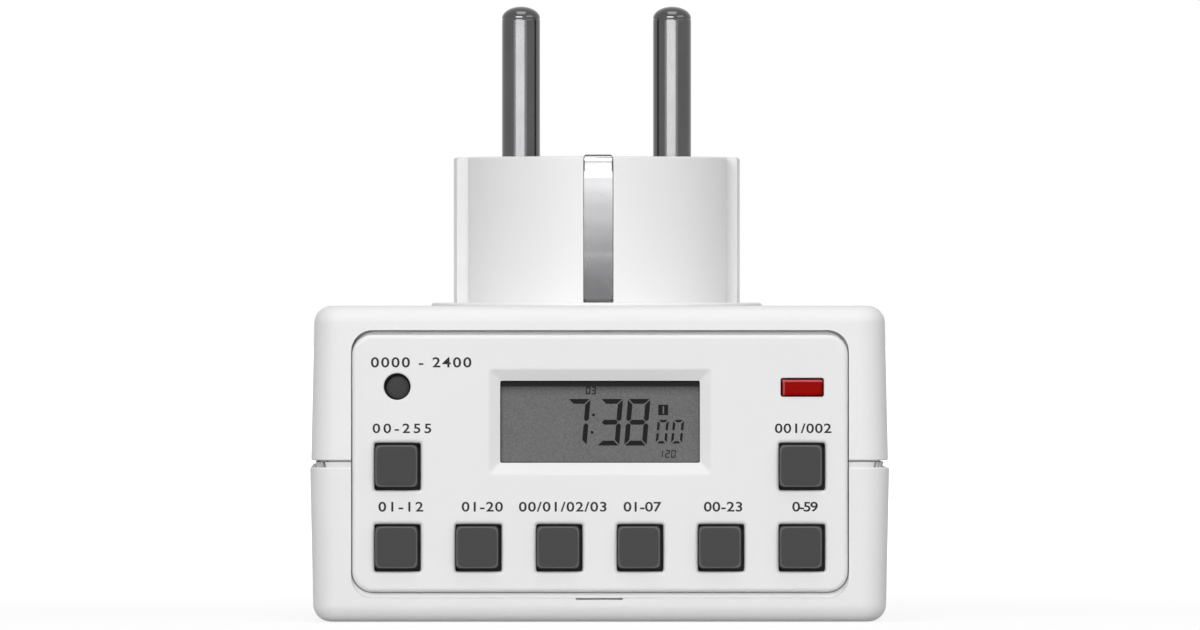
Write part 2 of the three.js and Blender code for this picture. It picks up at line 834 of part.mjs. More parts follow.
function lowerHousing() {
  const edgeLevel = lowerSection(edgeRadius, 0, cornerRadius);
  const shell = housingLoft([
    ...roundedEnd(edgeLevel.halfX, edgeLevel.halfY, cornerRadius, edgeRadius, 0, -1).reverse(),
    lowerSection(lowerWallTop, 0, cornerRadius),
  ]);
  const band = housingLoft([
    upperSection(lowerWallTop - overrun, grooveInset, cornerRadius - grooveInset),
    upperSection(upperStart, grooveInset, cornerRadius - grooveInset),
  ]);
  const tongue = housingLoft([
    upperSection(upperStart - overrun, wall - tongueThickness, innerRadius + tongueThickness),
    upperSection(upperStart + tongueHeight, wall - tongueThickness, innerRadius + tongueThickness),
  ]);
  const columnReliefs = screwPlaces().map(([x, y]) =>
    alongZ(disc(screwColumnDiameter / 2 + looseFit, x, y), upperStart, upperStart + tongueHeight + overrun),
  );
  const cavity = housingLoft([
    lowerSection(wall, wall, innerRadius),
    lowerSection(lowerWallTop, wall, innerRadius),
    upperSection(upperStart, wall, innerRadius),
    upperSection(upperStart + tongueHeight + overrun, wall, innerRadius),
  ]);
  const { tube, bore, lugs, cuts } = socketWell();
  const bosses = screwPlaces().map(([x, y]) =>
    alongZ(disc(screwColumnDiameter / 2, x, y), wall / 2, upperStart - fit),
  );
  const pilots = screwPlaces().map(([x, y]) =>
    alongZ(
      disc(screwDiameter / 2 + screwPilotExtra / 2, x, y),
      housingHeight - counterboreDepth - screwLength - pilotDepth,
      upperStart + overrun,
    ),
  );
  const outside = joined(shell, band, tongue);
  const cradleRadius = batteryDiameter / 2 + looseFit;
  const cradle = cut(
    alongZ(disc(cradleRadius + cradleWall, batteryX, batteryY), wall / 2, wall + cradleHeight),
    alongZ(disc(cradleRadius, batteryX, batteryY), wall, wall + cradleHeight + overrun),
  );
  const inside = joined(tube, ...bosses, cradle).intersect(outside);
  const body = joined(cut(outside, cavity), inside);
  return cut(
    joined(cut(body, bore), ...lugs),
    ...cuts,
    ...pilots,
    ...columnReliefs,
    panelOpening(),
    prySlot(),
  );
}

// A screw pointing down: its head's underside is at the origin
function screw(diameter, length, headDiameter, headHeight) {
  const crown = headHeight / 4;
  return turned(
    [
      [0, -length],
      [diameter / 4, -length],
      [diameter / 2, -length + diameter / 2],
      [diameter / 2, 0],
      [headDiameter / 2, 0],
      [headDiameter / 2, headHeight - crown],
      [headDiameter / 2 - crown, headHeight],
      [0, headHeight],
    ],
    smallSegments,
  );
}

function crossRecess(headHeight) {
  const [half, span] = [recessWidth / 2, recessSpan / 2];
  return joined(
    alongZ(rectangle(-half, -span, half, span), headHeight - recessDepth, headHeight + overrun),
    alongZ(rectangle(-span, -half, span, half), headHeight - recessDepth, headHeight + overrun),
  );
}

function buildHousing() {
  place(housing, "upper_housing", upperHousing(), whitePlastic);
  place(housing, "lower_housing", lowerHousing(), whitePlastic);
  const names = ["front_left", "front_right", "rear_left", "rear_right"];
  const plain = screw(screwDiameter, screwLength, screwHeadDiameter, screwHeadHeight);
  const made = cut(plain, crossRecess(screwHeadHeight));
  screwPlaces().forEach(([x, y], i) => {
    place(housing, `housing_screw_${names[i]}`, made, zincSteel, [x, y, housingHeight - counterboreDepth]);
  });
}

// Plug

// A block between two radii from the plug's axis, towards the back, as wide as given
function radialBlock(width, inner, outer, z0, z1) {
  return alongZ(rectangle(-width / 2, axisY + inner, width / 2, axisY + outer), z0, z1);
}

function plugBody() {
  const radius = plugDiameter / 2;
  const flat = plugAcrossFlats / 2;
  const round = turned(
    [
      [0, flangeTop - flangeThickness / 2],
      [radius, flangeTop - flangeThickness / 2],
      [radius, plugFace - plugEdge],
      [radius - plugEdge, plugFace],
      [0, plugFace],
    ],
    plugSegments,
    0,
    axisY,
  );
  const core = round.intersect(
    alongZ(rectangle(-flat, axisY - radius, flat, axisY + radius), flangeBottom, plugFace + overrun),
  );
  const ribOuter = guideGrooveWidth / 2 + guideRibThickness;
  const ribs = round.intersect(
    joined(
      alongZ(
        rectangle(-radius, axisY + guideGrooveWidth / 2, radius, axisY + ribOuter),
        flangeBottom,
        plugFace + overrun,
      ),
      alongZ(
        rectangle(-radius, axisY - ribOuter, radius, axisY - guideGrooveWidth / 2),
        flangeBottom,
        plugFace + overrun,
      ),
    ),
  );
  const flange = turned(
    [
      [0, flangeBottom],
      [flangeDiameter / 2, flangeBottom],
      [flangeDiameter / 2, flangeTop - flangeChamfer],
      [flangeDiameter / 2 - flangeChamfer, flangeTop],
      [0, flangeTop],
    ],
    plugSegments,
    0,
    axisY,
  );
  const cavity = alongZ(
    disc(plugCavityDiameter / 2, 0, axisY, plugSegments),
    flangeBottom - overrun,
    plugCeiling,
  );
  const pinBoss = alongZ(
    disc(pinBossDiameter / 2, pinX, axisY),
    plugCeiling - pinBossHeight,
    plugFace - plugEdge,
  );
  const pinHole = alongZ(
    disc(pinDiameter / 2 + fit, pinX, axisY, pinSegments),
    flangeBottom,
    plugFace + overrun,
  );
  const screwBoss = alongZ(
    disc(plugScrewBossDiameter / 2, plugScrewX, axisY + plugScrewBack),
    flangeBottom,
    plugCeiling + overrun,
  );
  const screwHole = alongZ(
    disc(plugScrewDiameter / 2 + fit, plugScrewX, axisY + plugScrewBack),
    flangeBottom - overrun,
    flangeBottom + plugScrewBossHeight - overrun,
  );
  const slotWidth = earthWidth + 2 * earthSideClearance;
  const groove = radialBlock(slotWidth, earthGrooveFloor, radius + overrun, flangeTop, plugFace + overrun);
  const saddle = radialBlock(
    slotWidth,
    earthInnerRadius - looseFit - earthThickness / 2,
    radius + overrun,
    plugFace - earthSaddleDepth,
    plugFace + overrun,
  );
  const slot = radialBlock(
    slotWidth,
    earthInnerRadius - looseFit - earthThickness / 2,
    plugCavityDiameter / 2,
    plugCeiling - overrun,
    plugFace,
  );
  const solid = joined(
    cut(joined(core, ribs, flange), cavity),
    ...mirroredPair(pinBoss, mirroredX),
    ...mirroredPair(screwBoss, mirroredX),
  );
  return cut(
    solid,
    ...mirroredPair(pinHole, mirroredX),
    ...mirroredPair(screwHole, mirroredX),
    ...[groove, saddle, slot].flatMap((tool) => mirroredPair(tool, mirroredAboutAxis)),
  );
}

function plugPin() {
  const radius = pinDiameter / 2;
  const tip = plugFace + pinLength;
  const profile = [
    [0, pinBottom],
    [pinHeadDiameter / 2, pinBottom],
    [pinHeadDiameter / 2, pinBottom + pinHeadHeight],
    [radius, pinBottom + pinHeadHeight],
  ];
  for (let step = 0; step <= domeSteps; step++) {
    const angle = ((step / domeSteps) * Math.PI) / 2;
    profile.push([radius * Math.cos(angle), tip - pinDome + pinDome * Math.sin(angle)]);
  }
  profile[profile.length - 1][0] = 0;
  return turned(profile, pinSegments);
}

// The middle line of one arm, as [distance from the plug's axis, height], from the hook down to the tail
function earthArm() {
  const hook = earthArmRadius - earthInnerRadius;
  const top = plugFace + earthHookRise - earthThickness / 2;
  const bottom = flangeTop + earthTailRise;
  const drop = top - bottom;
  const { inner, crown, shoulder, cheek } = earthHookShares;
  const drops = earthDropShares;
  return [
    [earthInnerRadius, plugFace - earthBaseDrop],
    [earthInnerRadius, top - drop * (drops.inner + drops.cheek)],
    [earthInnerRadius + hook * inner, top - drop * drops.inner],
    [earthInnerRadius + hook * crown * crown, top],
    [earthInnerRadius + hook * crown, top],
    [earthInnerRadius + hook * shoulder, top - drop * drops.cheek],
    [earthInnerRadius + hook * cheek, top - drop * drops.bend],
    [earthArmRadius, top - drop * drops.arm],
    [earthArmRadius, top - drop * drops.belly],
    [earthArmRadius - earthTailInset / 4, top - drop * drops.tail],
    [earthArmRadius - earthTailInset, bottom],
  ];
}

function plugEarthStrip() {
  const arm = earthArm();
  const rear = arm.map(([r, z]) => [axisY + r, z]);
  const front = arm.map(([r, z]) => [axisY - r, z]).reverse();
  const bent = alongX(stripOutline([...front, ...rear], earthThickness), -earthWidth / 2, earthWidth / 2);
  const height = plugFace + earthHookRise - flangeTop - earthTailRise;
  const outline = roundedRectangle(
    earthWidth,
    height + earthThickness,
    earthCorner,
    0,
    plugFace + earthHookRise - height / 2,
  );
  return bent.intersect(alongY(outline, axisY - plugDiameter, axisY + plugDiameter));
}

function buildPlug() {
  place(plug, "plug_body", plugBody(), whitePlastic);
  place(plug, "plug_pin_left", plugPin(), nickel, [-pinX, axisY, 0]);
  place(plug, "plug_pin_right", plugPin(), nickel, [pinX, axisY, 0]);
  place(plug, "plug_earth_strip", plugEarthStrip(), nickel);
  for (const [side, x] of [["left", -plugScrewX], ["right", plugScrewX]]) {
    const made = screw(plugScrewDiameter, plugScrewLength, plugScrewHeadDiameter, plugScrewHeadHeight);
    const upward = solidOf(geometryOf(made).rotateX(Math.PI));
    place(plug, `plug_screw_${side}`, upward, zincSteel, [x, axisY + plugScrewBack, ceiling - fit]);
  }
}

// Socket

function contactBase() {
  const radius = baseDiameter / 2;
  const rim = cut(
    alongZ(disc(radius, 0, axisY, wellSegments), wellTop, plateTop),
    alongZ(disc(radius - baseRimWall, 0, axisY, wellSegments), wellTop - overrun, plateBottom),
  );
  const pivot = alongZ(disc(pivotDiameter / 2, 0, axisY), wellTop + fit, plateTop);
  const pocket = cut(
    alongZ(
      roundedRectangle(2 * pocketOuter, 2 * pocketOuter, pocketWall, pinX, axisY),
      plateBottom,
      plateTop + pocketHeight,
    ),
    alongZ(
      roundedRectangle(2 * pocketInner, 2 * pocketInner, pocketWall / 2, pinX, axisY),
      plateTop,
      plateTop + pocketHeight + overrun,
    ),
  );
  const hole = alongZ(
    disc(contactHoleDiameter / 2, pinX, axisY, pinSegments),
    plateBottom - overrun,
    plateTop + fit,
  );
  return cut(joined(rim, pivot, ...mirroredPair(pocket, mirroredX)), ...mirroredPair(hole, mirroredX));
}

// Half the angle that a wing needs to cover its contact hole
const wingHalfAngle = Math.asin((contactHoleDiameter / 2 + wingMargin) / pinX);

function wingOutline(turn) {
  const [inner, outer] = [pivotDiameter, shutterDiameter / 2];
  const points = [];
  for (let step = 0; step <= domeSteps; step++) {
    const angle = turn + wingHalfAngle * ((2 * step) / domeSteps - 1);
    points.push(new THREE.Vector2(outer * Math.cos(angle), outer * Math.sin(angle)));
  }
  for (const side of [1, -1]) {
    const angle = turn + side * wingHalfAngle;
    points.push(new THREE.Vector2(inner * Math.cos(angle), inner * Math.sin(angle)));
  }
  return new THREE.Shape(points);
}

// Two wings on a thin hub; the side of each wing that a pin meets first is sloped
function shutter() {
  const bottom = wellTop + looseFit;
  const hub = alongZ(disc(shutterHubDiameter / 2), bottom, bottom + shutterHubThickness);
  const hole = alongZ(disc(pivotDiameter / 2 + pivotClearance), bottom - overrun, bottom + shutterThickness);
  const slope = shutterThickness * wingRampShare;
  const half = wingHalfAngle * pinX;
  const ramp = alongX(
    new THREE.Shape([
      new THREE.Vector2(-half - overrun, bottom - overrun),
      new THREE.Vector2(half * wingRampShare, bottom - overrun),
      new THREE.Vector2(half * wingRampShare, bottom),
      new THREE.Vector2(-half - overrun, bottom + shutterThickness - slope),
    ]),
    shutterHubDiameter / 2,
    shutterDiameter / 2 + overrun,
  );
  const wing = cut(alongZ(wingOutline(0), bottom, bottom + shutterThickness), ramp);
  const other = solidOf(geometryOf(wing).rotateZ(Math.PI));
  return cut(joined(hub, wing, other), hole);
}

// A coil round the pivot with a straight leg at each end
function shutterSpring() {
  const bottom = wellTop + looseFit + shutterHubThickness + springWire;
  const points = [new THREE.Vector3(springRadius, -springLeg, bottom)];
  const steps = Math.round(springTurns * smallSegments);
  for (let step = 0; step <= steps; step++) {
    const angle = (step / smallSegments) * 2 * Math.PI;
    points.push(
      new THREE.Vector3(
        springRadius * Math.cos(angle),
        springRadius * Math.sin(angle),
        bottom + (springPitch * step) / smallSegments,
      ),
    );
  }
  points.push(new THREE.Vector3(-springRadius, -springLeg, bottom + springPitch * springTurns));
  return tube(points, springWire, smallSegments / 2, points.length);
}

function tube(points, diameter, sides, steps) {
  return solidOf(
    new THREE.ExtrudeGeometry(disc(diameter / 2, 0, 0, sides), {
      steps,
      bevelEnabled: false,
      extrudePath: new THREE.CatmullRomCurve3(points, false, "centripetal"),
    }),
  );
}

// A spring clip round the incoming pin, open to the front
function socketContact() {
  const grip = pinDiameter / 2 + contactGripClearance + contactThickness / 2;
  const side = contactSide;
  const outline = stripOutline(
    [
      [-side, -side],
      [-grip, 0],
      [-side, side / 2],
      [-side, side],
      [side, side],
      [side, side / 2],
      [grip, 0],
      [side, -side],
    ],
    contactThickness,
  );
  return alongZ(outline, plateTop + fit, plateTop + fit + contactHeight);
}

function socketEarthClip() {
  const base = plateTop + clipThickness / 2;
  const { nose, ease, straight } = clipHeightShares;
  const height = base - clipTailHeight;
  const arm = [
    [clipArmRadius, base],
    [clipArmRadius, clipTailHeight + height * straight],
    [(clipArmRadius + clipNoseRadius) / 2, clipTailHeight + height * ease],
    [clipNoseRadius, clipTailHeight + height * nose],
    [clipTailRadius, clipTailHeight],
  ];
  const rear = arm.map(([r, z]) => [axisY + r, z]);
  const front = arm.map(([r, z]) => [axisY - r, z]).reverse();
  return alongX(stripOutline([...front, ...rear], clipThickness), -clipWidth / 2, clipWidth / 2);
}

function earthLink() {
  const bottom = plateTop + clipThickness;
  const top = plugFace - earthBaseDrop - earthThickness / 2;
  return alongZ(
    rectangle(-linkWidth / 2, axisY - linkThickness / 2, linkWidth / 2, axisY + linkThickness / 2),
    bottom,
    top,
  );
}

// How far behind the pins the bars run
function barReach() {
  return pocketOuter + 2 * barThickness;
}

// From the underside of a pin, back and down behind its contact's pocket
function neutralBar() {
  const depth = axisY + barReach() - barThickness / 2;
  return alongX(
    stripOutline(
      [
        [axisY - barFoot, barTop - barThickness / 2],
        [depth, barTop - barThickness / 2],
        [depth, plateTop + pocketHeight / 2],
      ],
      barThickness,
    ),
    -pinX - barWidth / 2,
    -pinX + barWidth / 2,
  );
}

// From the underside of the other pin, forward and down to the power board's edge
function liveBar() {
  const depth = powerBoardBack + looseFit + barThickness / 2;
  return alongX(
    stripOutline(
      [
        [axisY + barFoot, barTop - barThickness / 2],
        [depth, barTop - barThickness / 2],
        [depth, powerBoardBottom],
      ],
      barThickness,
    ),
    pinX - barWidth / 2,
    pinX + barWidth / 2,
  );
}

// An insulated lead from beside a contact's pocket, up and forward to the power board
function boardLead(side) {
  const x = side * (pinX + pocketOuter + leadDiameter / 2 + looseFit);
  const end = powerBoardBack + leadDiameter / 2 + looseFit;
  const start = plateTop + leadRise;
  const top = powerBoardTop - leadDiameter;
  return tube(
    [
      new THREE.Vector3(x, axisY, start),
      new THREE.Vector3(x, axisY, (start + top) / 2),
      new THREE.Vector3(x, (axisY + end) / 2, top - leadDiameter),
      new THREE.Vector3(x, end, top),
    ],
    leadDiameter,
    leadSides,
    leadSteps,
  );
}

function buildSocket() {
  place(socket, "contact_base", contactBase(), beigePlastic);
  place(socket, "shutter", shutter(), beigePlastic, [0, axisY, 0]);
  place(socket, "shutter_spring", shutterSpring(), zincSteel, [0, axisY, 0]);
  place(socket, "socket_contact_left", socketContact(), brass, [-pinX, axisY, 0]);
  place(socket, "socket_contact_right", socketContact(), brass, [pinX, axisY, 0]);
  place(socket, "socket_earth_clip", socketEarthClip(), nickel);
  place(socket, "earth_link", earthLink(), brass);
  place(socket, "neutral_bar", neutralBar(), brass);
  place(socket, "live_bar", liveBar(), brass);
  place(socket, "neutral_lead", boardLead(-1), blueInsulation);
  place(socket, "live_lead", boardLead(1), redInsulation);
}

// Control panel

// Every key's name and place on the panel
const keyPlaces = [
  ...["clock", "timer", "mode", "week", "hour", "minute"].map((name, column) => ({
    name,
    x: column * keyColumnPitch - outerColumnX,
    z: lowerKeyHeight,
  })),
  { name: "random", x: -outerColumnX, z: upperKeyHeight },
  { name: "recall", x: outerColumnX, z: upperKeyHeight },
];
const resetX = -outerColumnX;

function section(halfX, halfY, radius, at) {
  return { halfX, halfY, radius, at };
}

// A hole through the panel whose outer edge is eased
function easedHole(width, height, radius, x, z) {
  const grown = (lip, at) => section(width / 2 + lip, height / 2 + lip, radius + lip, at);
  return loftAlongY(
    [
      grown(keyHoleLip, panelFaceY - fit),
      grown(keyHoleLip / 4, panelFaceY + keyHoleLip / 4),
      grown(0, panelFaceY + keyHoleLip),
      grown(0, panelRimY + overrun),
    ],
    x,
    z,
  );
}

function displayOpening() {
  const [halfX, halfY] = [windowWidth / 2, windowHeight / 2];
  return loftAlongY(
    [
      section(halfX + windowBevel + fit, halfY + windowBevel + fit, keyRadius, panelFaceY - fit),
      section(halfX, halfY, keyHoleRadius, panelFaceY + windowBevelDepth),
      section(halfX, halfY, keyHoleRadius, panelRimY + overrun),
    ],
    0,
    windowCentre,
  );
}

function controlPanel() {
  const rounded = (inset, at) =>
    section(panelWidth / 2 - inset, panelHeight / 2 - inset, panelCorner - inset, at);
  const edge = [];
  for (let step = 0; step <= domeSteps; step++) {
    const angle = ((step / domeSteps) * Math.PI) / 2;
    edge.push(rounded(panelFillet * (1 - Math.sin(angle)), panelFaceY + panelFillet * (1 - Math.cos(angle))));
  }
  const plate = loftAlongY([...edge, rounded(0, panelRimY)], 0, panelCentre, cornerSteps);
  const flange = loftAlongY(
    [rounded(-panelFlange, panelRimY), rounded(-panelFlange, panelRimY + panelFlangeThickness)],
    0,
    panelCentre,
  );
  const pocket = loftAlongY(
    [rounded(panelRimWidth, panelBackY), rounded(panelRimWidth, panelRimY + panelFlangeThickness + overrun)],
    0,
    panelCentre,
  );
  const cellPocket = alongY(
    roundedRectangle(
      cellWidth + 2 * displayFrameMargin,
      cellHeight + 2 * displayFrameMargin,
      keyHoleRadius,
      0,
      windowCentre,
    ),
    glassFaceY - fit,
    panelRimY + overrun,
  );
  const bosses = boardScrewPlaces().map(([x, z]) =>
    cut(
      alongY(disc(boardBossDiameter / 2, x, z), panelBackY - fit, boardFrontY - fit),
      alongY(disc(boardScrewDiameter / 2 + fit, x, z), panelBackY + fit, boardFrontY),
    ),
  );
  const keyHoles = keyPlaces.map(({ x, z }) => easedHole(keyHole, keyHole, keyHoleRadius, x, z));
  const resetHole = alongY(
    disc(resetHoleDiameter / 2, resetX, resetHeight, rodSegments),
    panelFaceY - overrun,
    panelRimY,
  );
  const lampHole = easedHole(lampHoleWidth, lampHoleHeight, keyHoleRadius, outerColumnX, lampHeight);
  return cut(
    joined(cut(joined(plate, flange), pocket), ...bosses),
    displayOpening(),
    cellPocket,
    ...keyHoles,
    resetHole,
    lampHole,
  );
}

// One key: a cap with eased edges, the flange that keeps it behind the panel, and its stem
function key() {
  const front = frontY - capProud;
  const flangeFront = panelBackY + looseFit;
  const flangeBack = flangeFront + keyFlangeThickness;
  const half = keySize / 2;
  const flangeHalf = half + keyFlange;
  const cap = loftAlongY(
    [
      section(half - keyEdge, half - keyEdge, keyRadius - keyEdge / 2, front),
      section(half - keyEdge / 4, half - keyEdge / 4, keyRadius - keyEdge / 4, front + keyEdge / 4),
      section(half, half, keyRadius, front + keyEdge),
      section(half, half, keyRadius, flangeFront + keyFlangeThickness / 2),
    ],
    0,
    0,
  );
  const flange = loftAlongY(
    [
      section(flangeHalf, flangeHalf, keyRadius, flangeFront),
      section(flangeHalf, flangeHalf, keyRadius, flangeBack),
    ],
    0,
    0,
  );
  const stem = alongY(disc(keyStem / 2), flangeBack - keyFlangeThickness / 2, boardFrontY - keyContactGap);
  return joined(cap, flange, stem);
}

function resetKey() {
  const front = panelFaceY + resetSunk;
  const flangeFront = panelBackY + looseFit;
  const flangeBack = flangeFront + keyFlangeThickness;
  const radius = resetDiameter / 2;
  const depth = (y) => y - front;
  return solidOf(
    new THREE.LatheGeometry(
      [
        [0, 0],
        [radius / 2, resetDome / 4],
        [radius - resetDome, resetDome],
        [radius, 2 * resetDome],
        [radius, depth(flangeFront)],
        [radius + resetFlange, depth(flangeFront)],
        [radius + resetFlange, depth(flangeBack)],
        [resetStemDiameter / 2, depth(flangeBack)],
        [resetStemDiameter / 2, depth(boardFrontY - keyContactGap)],
        [0, depth(boardFrontY - keyContactGap)],
      ].map(([r, along]) => new THREE.Vector2(r, along)),
      rodSegments,
    ).translate(0, front, 0),
  );
}

// The silicone mat: a web on the board with a raised ring round each key's stem
function keypadMat() {
  const webFront = boardFrontY - matThickness;
  const centres = keyPlaces.map(({ x, z }) => [x + keyShiftX, z + keyShiftZ]);
  const left = resetX - keySize / 2 - matMargin;
  const bottom = lowerKeyHeight - keySize / 2 - matMargin / 2;
  const legTop = upperKeyHeight + keySize / 2 + matMargin / 2;
  const inner = -left - keySize - 2 * matMargin;
  const barTopLevel = lowerKeyHeight + keySize / 2 + matMargin / 2;
  const resetTop = resetHeight + resetDiameter / 2 + matMargin / 2;
  const foot = roundedRectangle(-2 * left, barTopLevel - bottom, keyRadius, 0, (barTopLevel + bottom) / 2);
  const outlines = [
    foot,
    rectangle(left, bottom + matMargin, -inner, resetTop),
    rectangle(inner, bottom + matMargin, -left, legTop),
  ];
  const web = joined(...outlines.map((outline) => alongY(outline, webFront, boardFrontY)));
  const ringInner = keyStem / 2 + matRingClearance;
  const rings = centres.map(([x, z]) =>
    alongY(
      disc(ringInner + matRing, x, z, smallSegments),
      webFront - matRingHeight,
      webFront + matThickness / 2,
    ),
  );
  const stems = centres.map(([x, z]) =>
    alongY(disc(ringInner, x, z, smallSegments), webFront - matRingHeight - overrun, boardFrontY + overrun),
  );
  const resetRing = alongY(
    disc(resetStemDiameter / 2 + matRingClearance + matRing, resetX, resetHeight, smallSegments),
    webFront - matRingHeight,
    webFront + matThickness / 2,
  );
  const resetStem = alongY(
    disc(resetStemDiameter / 2 + matRingClearance, resetX, resetHeight, smallSegments),
    webFront - matRingHeight - overrun,
    boardFrontY + overrun,
  );
  const bosses = boardScrewPlaces().map(([x, z]) =>
    alongY(disc(boardBossDiameter / 2 + looseFit, x, z), webFront - overrun, boardFrontY + overrun),
  );
  return cut(joined(web, ...rings, resetRing), ...stems, resetStem, ...bosses);
}

// The lamp's lens with its flange and two leads down to the board
function lamp() {
  const front = panelFaceY - lampProud;
  const back = front + lampLength;
  const [halfX, halfY] = [lampWidth / 2, lampThick / 2];
  const lens = loftAlongY(
    [
      section(halfX - lampEdge, halfY - lampEdge, lampEdge / 2, front),
      section(halfX - lampEdge / 4, halfY - lampEdge / 4, lampEdge, front + lampEdge / 4),
      section(halfX, halfY, lampEdge, front + lampEdge),
      section(halfX, halfY, lampEdge, back),
    ],
    0,
    0,
  );
  const flange = loftAlongY(
    [
      section(halfX + lampFlange, halfY + lampFlange, lampEdge, back - lampFlangeThickness),
      section(halfX + lampFlange, halfY + lampFlange, lampEdge, back),
    ],
    0,
    0,
  );
  const half = lampLeadThickness / 2;
  const leads = [-lampLeadSpacing / 2, lampLeadSpacing / 2].map((x) =>
    alongY(rectangle(x - half, -half, x + half, half), back - lampFlangeThickness / 2, boardFrontY),
  );
  return joined(lens, flange, ...leads);
}

function buildPanel() {
  place(panel, "control_panel", controlPanel(), whitePlastic);
  for (const { name, x, z } of keyPlaces) {
    place(panel, `key_${name}`, key(), greyRubber, [x + keyShiftX, 0, z + keyShiftZ]);
  }
  place(panel, "key_reset", resetKey(), greyRubber, [resetX, 0, resetHeight]);
  place(panel, "keypad_mat", keypadMat(), greyRubber);
  place(panel, "indicator_lamp", lamp(), redLens, [outerColumnX, 0, lampHeight]);
}

// Display and control board

function boardScrewPlaces() {
  return [
    [-boardScrewX, lowerBoardScrewHeight],
    [boardScrewX, lowerBoardScrewHeight],
    [-boardScrewX, upperBoardScrewHeight],
    [boardScrewX, upperBoardScrewHeight],
  ];
}

function controlBoard() {
  const plate = alongY(
    roundedRectangle(
      controlBoardWidth,
      controlBoardHeight,
      keyRadius,
      0,
      controlBoardBottom + controlBoardHeight / 2,
    ),
    boardFrontY,
    boardBackY,
  );
  const holes = boardScrewPlaces().map(([x, z]) =>
    alongY(disc(boardScrewDiameter / 2 + looseFit, x, z), boardFrontY - overrun, boardBackY + overrun),
  );
  return cut(plate, ...holes);
}

function glass(height, front) {
  return alongY(
    rectangle(-cellWidth / 2, windowCentre - height / 2, cellWidth / 2, windowCentre + height / 2),
    front,
    front + glassThickness,
  );
}

function displayFrame() {
  const inner = [cellWidth + 2 * displayFrameMargin, cellHeight + 2 * displayFrameMargin];
  const frame = (grown, y0, y1) =>
    alongY(roundedRectangle(inner[0] + grown, inner[1] + grown, keyRadius, 0, windowCentre), y0, y1);
  return cut(
    frame(2 * displayFrameWall, panelBackY + fit, boardFrontY - fit),
    frame(0, panelBackY - overrun, boardFrontY + overrun),
  );
}

// A conducting strip that presses the contacts on the glass's ledge against the board
function zebraStrip(side) {
  const z = windowCentre + side * (cellHeight / 2 - cellLedge / 2);
  const reach = cellWidth / 2 - zebraThickness;
  return alongY(
    rectangle(-reach, z - zebraThickness / 2, reach, z + zebraThickness / 2),
    glassFaceY + glassThickness,
    boardFrontY,
  );
}

// The round cap of resin over the controller chip
function chipCover() {
  const radius = chipDiameter / 2;
  return solidOf(
    new THREE.LatheGeometry(
      [
        [0, 0],
        [radius, 0],
        [radius * chipEdgeShare, chipHeight * chipEdgeShare],
        [0, chipHeight],
      ].map(([r, along]) => new THREE.Vector2(r, along)),
      rodSegments,
    ).translate(chipX, boardBackY, chipZ),
  );
}

function clockCrystal() {
  const radius = crystalDiameter / 2;
  const outline = disc(radius, crystalX, boardBackY + radius, smallSegments);
  return alongZ(outline, crystalZ, crystalZ + crystalLength);
}

// The flat cable from the control board up to the power board
function ribbonCable() {
  const out = boardBackY + ribbonStandOff;
  const top = powerBoardBottom - ribbonThickness / 2;
  return alongX(
    stripOutline(
      [
        [boardBackY, ribbonFootHeight],
        [out, ribbonFootHeight],
        [out, top],
        [powerBoardFront + ribbonStandOff, top],
      ],
      ribbonThickness,
    ),
    ribbonX - ribbonWidth / 2,
    ribbonX + ribbonWidth / 2,
  );
}

// Three cells in a sleeve, drawn in where they meet
function battery() {
  const radius = batteryDiameter / 2;
  const profile = [[0, 0]];
  for (let cell = 0; cell < batteryCells; cell++) {
    const bottom = (batteryHeight * cell) / batteryCells;
    const top = (batteryHeight * (cell + 1)) / batteryCells;
    profile.push([radius - batteryGroove, bottom]);
    profile.push([radius, bottom + batteryGrooveHeight]);
    profile.push([radius, top - batteryGrooveHeight]);
  }
  profile.push([radius - batteryGroove, batteryHeight]);
  profile.push([0, batteryHeight]);
  return turned(profile, rodSegments);
}

// The battery's lead, up over the cradle and forward to the control board
function batteryLead() {
  const [x, y] = [batteryX, batteryY];
  const foot = wall + batteryHeight + fit + batteryLeadDiameter / 4;
  return tube(
    [
      new THREE.Vector3(x, y, foot),
      new THREE.Vector3(x, y, foot + batteryLeadRise / 2),
      new THREE.Vector3(batteryLeadX, y - batteryLeadRise, foot + batteryLeadRise),
      new THREE.Vector3(batteryLeadX, boardBackY, foot + batteryLeadRise),
    ],
    batteryLeadDiameter,
    leadSides,
    leadSteps,
  );
}

function buildControls() {
  place(controls, "control_board", controlBoard(), boardGreen);
  const rearGlass = glass(cellHeight - 2 * cellLedge, glassFaceY + glassThickness);
  place(controls, "display_front_glass", glass(cellHeight, glassFaceY), displayGlass);
  place(controls, "display_rear_glass", rearGlass, displayGlass);
  place(controls, "display_frame", displayFrame(), blackPlastic);
  place(controls, "zebra_strip_upper", zebraStrip(1), blackPlastic);
  place(controls, "zebra_strip_lower", zebraStrip(-1), blackPlastic);
  place(controls, "chip_cover", chipCover(), blackPlastic);
  place(controls, "clock_crystal", clockCrystal(), zincSteel);
  place(controls, "ribbon_cable", ribbonCable(), greySheath);
  place(controls, "backup_battery", battery(), cellSleeve, [batteryX, batteryY, wall + fit]);
  place(controls, "battery_lead", batteryLead(), redInsulation);
  boardScrewPlaces().forEach(([x, z], i) => {
    const made = screw(boardScrewDiameter, boardScrewLength, boardScrewHeadDiameter, boardScrewHeadHeight);
    const turnedIn = solidOf(geometryOf(made).rotateX(-Math.PI / 2));
    place(controls, `board_screw_${i + 1}`, turnedIn, zincSteel, [x, boardBackY + fit, z]);
  });
}

// Power board: everything here hangs from its underside

